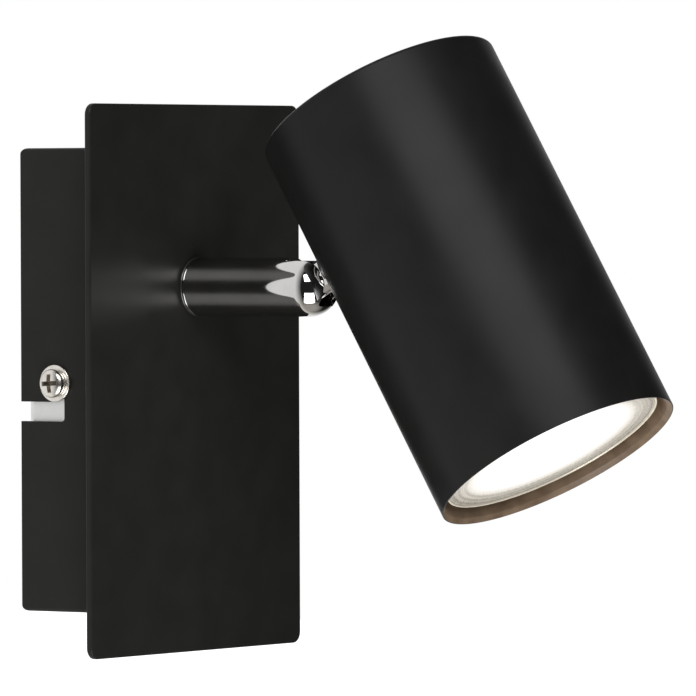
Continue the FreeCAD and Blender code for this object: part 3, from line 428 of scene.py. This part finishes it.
def black_paint(name, tones, rough):
    return surface(name, *tones, patch=9 * MM, rough=rough, grain=0.45 * MM, depth=0.004 * MM,
                   ior=PAINT_IOR)


# Painted light: the tube's inside is black paint, and this warm brown paints the lamp's light falling on it.
def tube_inside_lamplight():
    return surface("tube_inside_lamplight", (0.132, 0.086, 0.052), (0.200, 0.136, 0.086),
                   patch=4 * MM, rough=(0.42, 0.55), grain=0.5 * MM, depth=0.006 * MM)


def chrome():
    return surface("chrome", (0.60, 0.59, 0.58), (0.66, 0.65, 0.64),
                   patch=6 * MM, rough=(0.035, 0.06), grain=0.8 * MM, depth=0.0004 * MM, metallic=1.0)


def zinc_steel():
    return surface("zinc_steel", (0.68, 0.68, 0.67), (0.74, 0.74, 0.73),
                   patch=3 * MM, rough=(0.34, 0.42), grain=0.3 * MM, depth=0.002 * MM, metallic=1.0)


# Painted shade: a dark brown on the faces of a cross recess, standing in for the shade inside it.
def screw_recess_shade():
    return surface("screw_recess_shade", (0.16, 0.13, 0.10), (0.26, 0.22, 0.18),
                   patch=0.5 * MM, rough=(0.5, 0.6), grain=0.2 * MM, depth=0.01 * MM, metallic=0.4)


def bezel_metal():
    return surface("bezel_metal", (0.80, 0.74, 0.62), (0.90, 0.84, 0.72),
                   patch=3 * MM, rough=(0.28, 0.40), grain=0.3 * MM, depth=0.004 * MM, metallic=0.2)


def nickel_screw():
    return surface("nickel_screw", (0.66, 0.63, 0.58), (0.78, 0.75, 0.70),
                   patch=1.2 * MM, rough=(0.20, 0.30), grain=0.25 * MM, depth=0.003 * MM, metallic=1.0)


def brass():
    return surface("brass", (0.72, 0.50, 0.22), (0.83, 0.62, 0.31),
                   patch=2 * MM, rough=(0.22, 0.36), grain=0.3 * MM, depth=0.003 * MM, metallic=1.0)


def dark_washer():
    return surface("dark_washer", (0.020, 0.019, 0.019), (0.032, 0.030, 0.029),
                   patch=2 * MM, rough=(0.16, 0.24), grain=0.3 * MM, depth=0.002 * MM, ior=WASHER_IOR)


def fibre():
    return surface("fibre", (0.26, 0.14, 0.08), (0.40, 0.24, 0.14),
                   patch=0.8 * MM, rough=(0.7, 0.85), grain=0.15 * MM, depth=0.02 * MM)


def white_nylon():
    return surface("white_nylon", (0.74, 0.74, 0.70), (0.82, 0.82, 0.79),
                   patch=5 * MM, rough=(0.35, 0.48), grain=0.4 * MM, depth=0.006 * MM)


def ceramic():
    return surface("ceramic", (0.76, 0.73, 0.67), (0.86, 0.84, 0.79),
                   patch=3 * MM, rough=(0.55, 0.75), grain=0.2 * MM, depth=0.02 * MM)


def lamp_white():
    return surface("lamp_white", (0.76, 0.76, 0.74), (0.84, 0.84, 0.83),
                   patch=6 * MM, rough=(0.18, 0.28), grain=0.6 * MM, depth=0.004 * MM)


def lead_brown():
    return surface("lead_brown", (0.16, 0.06, 0.025), (0.24, 0.10, 0.04),
                   patch=2 * MM, rough=(0.45, 0.6), grain=0.3 * MM, depth=0.01 * MM)


def lead_earth():
    """Green silicone with yellow stripes."""
    material, tree, bsdf = shader("lead_earth")
    place = tree.nodes.new("ShaderNodeTexCoord")
    wave = tree.nodes.new("ShaderNodeTexWave")
    wave.inputs["Scale"].default_value = EARTH_STRIPE_SCALE
    wave.inputs["Distortion"].default_value = 0.6
    tree.links.new(place.outputs["Object"], wave.inputs["Vector"])
    colour = two_tone(tree, wave.outputs["Fac"], (0.10, 0.32, 0.05), (0.72, 0.60, 0.04), 0.45, 0.55)
    tree.links.new(colour, bsdf.inputs["Base Color"])
    grains = object_noise(tree, 0.3 * MM)
    tree.links.new(bump(tree, grains.outputs["Fac"], 0.01 * MM), bsdf.inputs["Normal"])
    tree.links.new(remap(tree, grains.outputs["Fac"], 0.45, 0.6), bsdf.inputs["Roughness"])
    return material


def axis_distance(tree):
    """Distance from the lamp's axis, in metres, in the object's own space."""
    place = tree.nodes.new("ShaderNodeTexCoord")
    offset = tree.nodes.new("ShaderNodeVectorMath")
    offset.operation = "SUBTRACT"
    offset.inputs[1].default_value = joint_place("lamp_twist")
    cross = tree.nodes.new("ShaderNodeVectorMath")
    cross.operation = "CROSS_PRODUCT"
    cross.inputs[1].default_value = TUBE_AXIS
    length = tree.nodes.new("ShaderNodeVectorMath")
    length.operation = "LENGTH"
    tree.links.new(place.outputs["Object"], offset.inputs[0])
    tree.links.new(offset.outputs["Vector"], cross.inputs[0])
    tree.links.new(cross.outputs["Vector"], length.inputs[0])
    return length.outputs["Value"]


def lens_glow(radius):
    """Frosted glass lit from behind: white in the middle, dimmer in rings by its edge."""
    material, tree, bsdf = shader("lens_glow")
    specks = object_noise(tree, 0.5 * MM, detail=4.0, roughness=0.7)
    waves = remap(tree, specks.outputs["Fac"], -LENS_WAVE, LENS_WAVE)
    distance = join_values(tree, "ADD", axis_distance(tree), waves)
    ramp = tree.nodes.new("ShaderNodeValToRGB")
    tree.links.new(remap(tree, distance, 0, 1, 0, radius), ramp.inputs["Fac"])
    stops = ramp.color_ramp.elements
    stops[0].position = GLOW_LEVELS[0][0]
    stops[1].position = GLOW_LEVELS[-1][0]
    for position, _ in GLOW_LEVELS[1:-1]:
        stops.new(position)
    for stop, (_, level) in zip(stops, GLOW_LEVELS):
        green, blue = [level * (1 - loss * (1 - level)) for loss in GLOW_WARMTH]
        stop.color = (level, green, blue, 1)
    grains = object_noise(tree, 0.7 * MM)
    tree.links.new(remap(tree, grains.outputs["Fac"], 0.18, 0.30), bsdf.inputs["Roughness"])
    tree.links.new(bump(tree, grains.outputs["Fac"], 0.02 * MM), bsdf.inputs["Normal"])
    tree.links.new(ramp.outputs["Color"], bsdf.inputs["Emission Color"])
    bsdf.inputs["Base Color"].default_value = (0.10, 0.09, 0.07, 1)
    bsdf.inputs["Emission Strength"].default_value = GLOW_STRENGTH
    return material


LAMP_RADIUS = node_radius("lamp_bezel", HEAD)

# The finish of each material slot of the record
FINISH = {
    "black_paint": black_paint("black_paint", PLATE_TONES, PLATE_ROUGH),
    "chrome": chrome(),
    "zinc_steel": zinc_steel(),
    "nickel_screw": nickel_screw(),
    "brass": brass(),
    "dark_washer": dark_washer(),
    "fibre": fibre(),
    "white_nylon": white_nylon(),
    "ceramic": ceramic(),
    "lamp_white": lamp_white(),
    "lens_glow": lens_glow(LAMP_RADIUS),
    "lead_brown": lead_brown(),
    "lead_earth": lead_earth(),
}
TUBE_PAINT = black_paint("tube_paint", TUBE_TONES, TUBE_ROUGH)
TUBE_INSIDE_LAMPLIGHT = tube_inside_lamplight()
RECESS_SHADE = screw_recess_shade()
BEZEL = bezel_metal()


def dress_nodes():
    """Gives every node the procedural finish of its slot."""
    slots = {part["node"]: part["material_slot"] for part in frame["record"]["subparts"]}
    for name, node in nodes.items():
        node.data.materials.clear()
        node.data.materials.append(FINISH[slots[name]])


# Pieces --------------------------------------------------------------------------------------

def front_plate():
    """The sheet plate with its rounded edges and corners and the hole for the arm's nipple."""
    low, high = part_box("front_plate")
    half_width = (high.x - low.x) / 2
    half_height = (high.z - low.z) / 2
    edge = PLATE_EDGE_ROUND
    rim = [(edge * (1 - math.sin(angle)), low.y + edge * (1 - math.cos(angle)))
           for angle in arc_angles(90, EDGE_STEPS)]
    rim += [(inset, low.y + high.y - y) for inset, y in reversed(rim)]
    bm = bmesh.new()
    loops = []
    for inset, y in rim:
        outline = rectangle(half_width - inset, half_height - inset, PLATE_CORNER - inset)
        loops.append([bm.verts.new((x, y, z)) for x, z in outline])
    for one, other in zip(loops, loops[1:]):
        wall_between(bm, one, other)
    hole_radius = node_radius("swivel_nipple", ARM)
    holes = []
    for y in (low.y, high.y):
        holes.append([bm.verts.new((hole_radius * math.cos(angle), y,
                                    PIVOT.z + hole_radius * math.sin(angle)))
                      for angle in arc_angles(360, HOLE_STEPS)[:-1]])
    wall_between(bm, *holes)
    for loop, hole in ((loops[0], holes[0]), (loops[-1], holes[1])):
        edges = []
        for ring in (loop, hole):
            for index in range(len(ring)):
                edges.append(bm.edges.get((ring[index], ring[(index + 1) % len(ring)])))
        bmesh.ops.triangle_fill(bm, use_beauty=True, edges=edges)
    piece = from_bmesh("plate_sheet", bm)
    weigh = piece.modifiers.new("normals", "WEIGHTED_NORMAL")
    weigh.weight = 100
    weigh.keep_sharp = True
    finish_piece(piece, "canopy", "black_paint", "front_plate")


def spotlight_tube():
    """A thin tube closed at its top, with a tapered mouth and another material inside: a warm brown that paints
    the lamp's light on the black inner wall.
    """
    low, high = node_box("spotlight_tube", HEAD)
    radius = node_radius("spotlight_tube", HEAD)
    inner = radius - TUBE_WALL
    floor_height = high.z - TUBE_WALL
    place = HEAD @ Matrix.Translation((0, (low.y + high.y) / 2, 0))
    outside = rounded([(0, high.z, 0), (radius, high.z, TUBE_TOP_ROUND), (radius, low.z, TUBE_LIP_ROUND),
                       (radius - TUBE_LIP, low.z, 0)], steps=8)
    inside = rounded([(radius - TUBE_LIP, low.z, 0), (inner, low.z + TUBE_LIP_TAPER, TUBE_TAPER_ROUND),
                      (inner, floor_height, TUBE_FLOOR_ROUND), (0, floor_height, 0)], steps=4)
    piece = lathe("tube_shell", outside + inside[1:], place, TUBE_STEPS, inner_from=len(outside) - 1)
    finish_piece(piece, "head", "black_paint", "spotlight_tube", TUBE_PAINT, TUBE_INSIDE_LAMPLIGHT)


def arm_profile(radius, base):
    """The arm's (radius, height) chain: bore, skirt over the spacer, bead, groove, bar and ball."""
    lip = base - ARM_SKIRT
    foot = lip + 2 * ARM_BEAD + ARM_GROOVE
    chain = [(0, 0), (ARM_BORE / 2, 0), (ARM_BORE / 2, base),
             (radius - ARM_SKIRT_WALL, base), (radius - ARM_SKIRT_WALL, lip)]
    chain += [(radius - ARM_BEAD_SINK + ARM_BEAD * math.sin(angle), lip + ARM_BEAD * (1 - math.cos(angle)))
              for angle in arc_angles(180, BEAD_STEPS)]
    chain.append((radius, foot - ARM_GROOVE_RISE))
    chain += [(radius, foot * (1 - step / BAR_STEPS)) for step in range(BAR_STEPS + 1)]
    chain += [(radius * math.cos(angle), radius * math.sin(angle))
              for angle in arc_angles(90, ARM_BALL_STEPS)[1:]]
    return chain


def swivel_arm():
    """A turned bar with a ball nose, slotted for the tongue and drilled for the pivot screw."""
    radius = node_radius("swivel_arm", ARM)
    base = node_box("swivel_arm", ARM)[0].z
    arm = lathe("arm_bar", arm_profile(radius, base), ARM, FINE_STEPS)
    half = KNUCKLE_SLOT / 2
    outline = [(-half, CUT_MARGIN), (half, CUT_MARGIN)]
    outline += [(half - SLOT_CORNER + SLOT_CORNER * math.cos(angle),
                 -SLOT_DEPTH + SLOT_CORNER - SLOT_CORNER * math.sin(angle))
                for angle in arc_angles(90, SLOT_CORNER_STEPS)]
    outline += [(-x, y) for x, y in reversed(outline[2:])]
    slot = prism("slot", outline, -SLOT_DEPTH, CUT_MARGIN, ARM)
    pin = ARM @ QUARTER_Y
    head_room = rod("head_room", PIN_HEAD_ROOM / 2, radius - PIN_SEAT, 2 * radius, pin, STUB_STEPS)
    start, end = [share * radius for share in PIN_BORE_REACH]
    shank_bore = rod("shank_bore", PIN_BORE / 2, start, end, pin, BORE_STEPS)
    carve(arm, [slot, head_room, shank_bore])
    finish_piece(arm, "arm", "chrome", "swivel_arm")


def tongue_collar(place):
    """The tongue's collar, hollowed to fit the tube's round wall."""
    low, high = node_box("spotlight_tube", HEAD)
    centre = -(low.y + high.y) / 2
    radius = TONGUE_COLLAR / 2
    profile = rounded([(0, TONGUE_COLLAR_START, 0), (radius, TONGUE_COLLAR_START, TONGUE_COLLAR_ROUND),
                       (radius, centre, 0), (0, centre, 0)])
    collar = lathe("collar", profile, place)
    tube = rod("wall", node_radius("spotlight_tube", HEAD) + TONGUE_TUBE_GAP, -CUT_MARGIN, CUT_MARGIN,
               HEAD @ Matrix.Translation((0, -centre, 0)), TUBE_STEPS)
    carve(collar, [tube])
    return collar


def head_tongue():
    """A turned rod with a ball end and two flats, its collar against the tube and its stub."""
    low, high = node_box("head_tongue", HEAD)
    radius = high.y
    place = HEAD @ QUARTER_X
    shaft_end = TONGUE_COLLAR_START + TONGUE_COLLAR_ROUND
    ball = [(radius * math.sin(angle), -radius * math.cos(angle))
            for angle in arc_angles(90, TONGUE_BALL_STEPS)]
    shaft = lathe("tongue_shaft", ball + [(radius, shaft_end), (0, shaft_end)], place)
    cheek = -node_box("pivot_washers", HEAD)[0].x - TONGUE_CHEEK_GAP
    flats = prism("flats", [(-cheek, -CUT_MARGIN), (cheek, -CUT_MARGIN), (cheek, CUT_MARGIN),
                            (-cheek, CUT_MARGIN)], -CUT_MARGIN, CUT_MARGIN, place)
    carve(shaft, [flats], "INTERSECT")
    stub_radius = TONGUE_STUB / 2
    stub = lathe("stub", rounded([(0, 0, 0), (stub_radius, 0, 0), (stub_radius, -low.y, TONGUE_STUB_ROUND),
                                  (0, -low.y, 0)]), place, STUB_STEPS)
    carve(shaft, [tongue_collar(place), stub], "UNION")
    pin_bore = rod("pin_bore", PIN_BORE / 2, -CUT_MARGIN, CUT_MARGIN, HEAD @ QUARTER_Y, BORE_STEPS)
    wire_bore = rod("wire_bore", WIRE_BORE / 2, WIRE_BORE_START, CUT_MARGIN, place, BORE_STEPS)
    carve(shaft, [pin_bore, wire_bore])
    finish_piece(shaft, "head", "chrome", "head_tongue")


def dome_height(across):
    """Height of a screw's head, as a share of the full one, at a share of its radius."""
    return DOME_FOOT + (1 - DOME_FOOT) * max(0, 1 - across ** 2) ** DOME_POWER


def cross_screw(name, place, head_radius, head_height, shank_radius, shank_length, turn):
    """A domed screw with a tapered cross recess, whose faces are marked for the painted shade; Z runs out of the
    head.
    """
    chain = [(0, -shank_length), (shank_radius * SHANK_TIP[0], -shank_length),
             (shank_radius, -shank_length + shank_radius * SHANK_TIP[1]), (shank_radius, 0),
             (head_radius * HEAD_CHAMFER[0], 0), (head_radius, head_height * HEAD_CHAMFER[1]),
             (head_radius, head_height * DOME_FOOT)]
    for angle in arc_angles(90, DOME_STEPS)[1:-1]:
        across = math.cos(angle)
        chain.append((head_radius * across, head_height * dome_height(across)))
    screw = lathe(name, chain + [(0, head_height)], place, SCREW_STEPS)
    cutters = []
    for arm in (0, 90):
        spin = place @ Matrix.Rotation(math.radians(turn + arm), 4, "Z")
        cutters.append(tapered_arm(spin, head_radius, head_height))
    carve(screw, cutters)
    # Recess faces below the head's top get the second material, the painted shade.
    back = place.inverted()
    for face in screw.data.polygons:
        centre = back @ face.center
        across = math.hypot(centre.x, centre.y) / head_radius
        if across < CROSS_REACH and 0 < centre.z < head_height * dome_height(across) - CROSS_SHADE:
            face.material_index = 1
    return screw


def tapered_arm(place, head_radius, head_height):
    """One arm of a cross recess: long and wide at its mouth, short and narrow at its floor."""
    bm = bmesh.new()
    rings = []
    for along, across, height in (CROSS_FLOOR, CROSS_MOUTH):
        rings.append([bm.verts.new(place @ Vector((x * along * head_radius, y * across * head_radius,
                                                   height * head_height)))
                      for x, y in ((1, 1), (-1, 1), (-1, -1), (1, -1))])
    bm.faces.new(rings[0])
    bm.faces.new(rings[1])
    wall_between(bm, *rings)
    return from_bmesh("cross", bm)


def side_fasteners():
    """The screw and the captive washer in each side of the canopy."""
    low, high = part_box("side_screws")
    washer_low, washer_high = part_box("side_washers")
    middle_y = (low.y + high.y) / 2
    middle_z = (low.z + high.z) / 2
    head_radius = (high.z - low.z) / 2
    washer_radius = (washer_high.z - washer_low.z) / 2
    face = washer_high.x
    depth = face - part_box("canopy_box")[1].x
    for name, sign in (("left", -1), ("right", 1)):
        place = (Matrix.Translation((sign * face, middle_y, middle_z))
                 @ Matrix.Rotation(math.radians(90 * sign), 4, "Y"))
        screw = cross_screw("side_screw_" + name, place, head_radius, high.x - face, SIDE_SHANK_RADIUS,
                            SIDE_SHANK_LENGTH, SIDE_CROSS_TURN)
        finish_piece(screw, "canopy", "nickel_screw", "side_screws", second=RECESS_SHADE)
        chain = rounded([(WASHER_BORE_RADIUS, -depth, 0), (washer_radius, -depth, WASHER_ROUND),
                         (washer_radius, 0, WASHER_ROUND), (WASHER_BORE_RADIUS, 0, WASHER_ROUND),
                         (WASHER_BORE_RADIUS, -depth, 0)])
        washer = lathe("side_washer_" + name, chain[:-1], place, SCREW_STEPS, closed=True)
        finish_piece(washer, "canopy", "nickel_screw", "side_washers")


def pivot_screw():
    """The screw across the knuckle, with its head in the seat of the arm's cheek."""
    low, high = node_box("pivot_screw", ARM)
    seat = high.x - PIN_HEAD_HEIGHT
    place = ARM @ QUARTER_Y @ Matrix.Translation((0, 0, seat))
    screw = cross_screw("knuckle_screw", place, (high.y - low.y) / 2, PIN_HEAD_HEIGHT, PIN_SHANK_RADIUS,
                        seat - low.x, PIN_CROSS_TURN)
    finish_piece(screw, "arm", "chrome", "pivot_screw", second=RECESS_SHADE)


def arm_spacer():
    """The ring between plate and arm, with a waist under the arm's skirt."""
    low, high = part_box("arm_spacer")
    radius = (high.x - low.x) / 2
    waist = radius - SPACER_WAIST
    thick = high.y - low.y
    place = Matrix.Translation((0, high.y, PIVOT.z)) @ QUARTER_X
    chain = rounded([(SPACER_BORE_RADIUS, 0, 0), (radius, 0, SPACER_BACK_ROUND),
                     (radius, SPACER_STEP, WASHER_ROUND), (waist, SPACER_STEP, 0), (waist, thick, 0),
                     (SPACER_BORE_RADIUS, thick, 0)])
    piece = lathe("arm_collar", chain, place, closed=True)
    finish_piece(piece, "arm", "dark_washer", "arm_spacer")


def lamp_pieces():
    """The lens with its rings and the bezel that holds it."""
    low, high = node_box("lamp_lens", HEAD)
    place = HEAD @ Matrix.Translation((0, (low.y + high.y) / 2, 0))
    radius = LAMP_RADIUS - BEZEL_RIM
    face = low.z + LENS_RIDGE_HEIGHT
    chain = [(0, high.z), (radius, high.z), (radius, face)]
    for inset in LENS_RIDGES:
        chain += [(radius - inset + LENS_RIDGE_HALF_WIDTH * math.cos(angle),
                   face - LENS_RIDGE_HEIGHT * math.sin(angle)) for angle in arc_angles(180, BEAD_STEPS)]
    chain += [(radius / 2, face), (0, face)]
    lens = lathe("lens_disc", chain, place, FINE_STEPS, sharp=LENS_SHARP_ANGLE)
    finish_piece(lens, "lamp", "lens_glow", "lamp_lens")
    bottom = node_box("lamp_bezel", HEAD)[0].z
    chain = rounded([(radius, high.z, 0), (LAMP_RADIUS, high.z, 0), (LAMP_RADIUS, bottom, BEZEL_ROUND),
                     (radius, bottom, BEZEL_ROUND), (radius, high.z, 0)])
    bezel = lathe("bezel_ring", chain[:-1], place, FINE_STEPS, closed=True)
    finish_piece(bezel, "lamp", "chrome", "lamp_bezel", BEZEL)


# Camera, light and floor ---------------------------------------------------------------------

# The camera, fitted to the photograph. Its focal length is in pixels of the picture.
IMAGE_SIZE = 696
FOCAL_PIXELS = 8030.47
SENSOR_WIDTH = 36.0
CAMERA_AZIMUTH = 55.706
CAMERA_ELEVATION = 1.108
CAMERA_ROLL = -0.2006
CAMERA_DISTANCE = 1774.83 * MM
CAMERA_TARGET = Vector((17.010, -54.717, 6.550)) * MM

# How bright the room is by its direction: Y for the wall and Z for the ground
FRONT_LIGHT = 0.02
WALL_LIGHT = 0.95
WALL_RISE = (0.0, 0.42)
DIFFUSE_WALL = 0.12
GROUND_LIGHT = 0.45
GROUND_FALL = (-0.97, -0.78)
GROUND_TINT = (1, 0.95, 0.87, 1)
TINT_FALL = (-0.95, -0.55)

# Softboxes: direction from the knuckle, width, height and power
SOFTBOX_DISTANCE = 900 * MM
UPPER_SOFTBOX = ((-0.577, -0.520, 0.629), 900 * MM, 500 * MM, 7.6)
LOWER_SOFTBOX = ((-0.603, -0.392, -0.695), 600 * MM, 700 * MM, 7.4)
LOW_FILL = ((0.45, -0.62, -0.64), 800 * MM, 800 * MM, 4.4)

FLOOR_DROP = 380 * MM
FLOOR_REACH = 6.0
FLOOR_GLOW = 1.3


def camera():
    """The camera at the photograph's place, with its small roll."""
    azimuth = math.radians(CAMERA_AZIMUTH)
    elevation = math.radians(CAMERA_ELEVATION)
    roll = math.radians(CAMERA_ROLL)
    sight = Vector((math.sin(azimuth) * math.cos(elevation), math.cos(azimuth) * math.cos(elevation),
                    -math.sin(elevation)))
    level = Vector((math.cos(azimuth), -math.sin(azimuth), 0))
    upright = level.cross(sight)
    right = level * math.cos(roll) + upright * math.sin(roll)
    up = upright * math.cos(roll) - level * math.sin(roll)
    data = bpy.data.cameras.new("camera")
    data.sensor_width = SENSOR_WIDTH
    data.lens = FOCAL_PIXELS * SENSOR_WIDTH / IMAGE_SIZE
    data.clip_start = 0.05
    data.clip_end = 50
    eye = bpy.data.objects.new("camera", data)
    bpy.context.scene.collection.objects.link(eye)
    turn = Matrix((right, up, -sight)).transposed().to_4x4()
    eye.matrix_world = Matrix.Translation(CAMERA_TARGET - sight * CAMERA_DISTANCE) @ turn
    bpy.context.scene.camera = eye


def softbox(name, direction, width, height, power):
    """A rectangular light that faces the knuckle and that the camera doesn't see."""
    data = bpy.data.lights.new(name, "AREA")
    data.shape = "RECTANGLE"
    data.size = width
    data.size_y = height
    data.energy = power
    light = bpy.data.objects.new(name, data)
    bpy.context.scene.collection.objects.link(light)
    aim = Vector(direction).normalized()
    light.matrix_world = (Matrix.Translation(PIVOT + aim * SOFTBOX_DISTANCE)
                          @ aim.to_track_quat("Z", "Y").to_matrix().to_4x4())
    light.visible_camera = False
    return light


def studio():
    """A room that is white behind the object, dark in front of it and warm below it.

    The camera sees white all round, and the room adds little light to matt surfaces."""
    world = bpy.data.worlds.new("studio")
    bpy.context.scene.world = world
    world.use_nodes = True
    tree = world.node_tree
    tree.nodes.clear()
    place = tree.nodes.new("ShaderNodeTexCoord")
    split = tree.nodes.new("ShaderNodeSeparateXYZ")
    tree.links.new(place.outputs["Generated"], split.inputs["Vector"])
    path = tree.nodes.new("ShaderNodeLightPath")
    wall = remap(tree, split.outputs["Y"], FRONT_LIGHT, WALL_LIGHT, *WALL_RISE)
    ground = remap(tree, split.outputs["Z"], GROUND_LIGHT, 0.0, *GROUND_FALL)
    around = join_values(tree, "MAXIMUM", wall, ground)
    seen = join_values(tree, "MAXIMUM", around, path.outputs["Is Camera Ray"])
    dim = remap(tree, path.outputs["Is Diffuse Ray"], 1.0, DIFFUSE_WALL, 0.0, 1.0)
    level = join_values(tree, "MULTIPLY", seen, dim)
    tint = tree.nodes.new("ShaderNodeMix")
    tint.data_type = "RGBA"
    tint.inputs["A"].default_value = (1, 1, 1, 1)
    tint.inputs["B"].default_value = GROUND_TINT
    tree.links.new(remap(tree, split.outputs["Z"], 1.0, 0.0, *TINT_FALL), tint.inputs["Factor"])
    back = tree.nodes.new("ShaderNodeBackground")
    tree.links.new(tint.outputs["Result"], back.inputs["Color"])
    tree.links.new(level, back.inputs["Strength"])
    out = tree.nodes.new("ShaderNodeOutputWorld")
    tree.links.new(back.outputs["Background"], out.inputs["Surface"])


def floor():
    """The pale floor, far below the part. It glows, so no shadow shows on it.

    The part isn't lit by it, doesn't mirror it and gets no shadow from it."""
    height = cad_box[0].z - FLOOR_DROP
    bm = bmesh.new()
    for x, y in ((-1, -1), (1, -1), (1, 1), (-1, 1)):
        bm.verts.new((x * FLOOR_REACH, y * FLOOR_REACH, height))
    bm.faces.new(bm.verts)
    ground = from_bmesh("studio_floor", bm)
    material, tree, bsdf = shader("studio_floor")
    grain = object_noise(tree, 50 * MM)
    tree.links.new(two_tone(tree, grain.outputs["Fac"], (0.86, 0.86, 0.86), (0.90, 0.90, 0.90)),
                   bsdf.inputs["Base Color"])
    bsdf.inputs["Roughness"].default_value = 0.9
    bsdf.inputs["Emission Color"].default_value = (1, 1, 1, 1)
    bsdf.inputs["Emission Strength"].default_value = FLOOR_GLOW
    ground.data.materials.append(material)
    ground.visible_glossy = False
    ground.visible_diffuse = False
    ground.visible_shadow = False


def main():
    dress_nodes()
    front_plate()
    spotlight_tube()
    swivel_arm()
    head_tongue()
    side_fasteners()
    pivot_screw()
    arm_spacer()
    lamp_pieces()
    camera()
    studio()
    softbox("upper_softbox", *UPPER_SOFTBOX)
    softbox("lower_softbox", *LOWER_SOFTBOX)
    # The low fill doesn't show in the chrome
    fill = softbox("low_fill", *LOW_FILL)
    fill.visible_glossy = False
    floor()
    bpy.context.scene.view_settings.view_transform = "Standard"
    bpy.context.scene.view_settings.look = "None"


main()
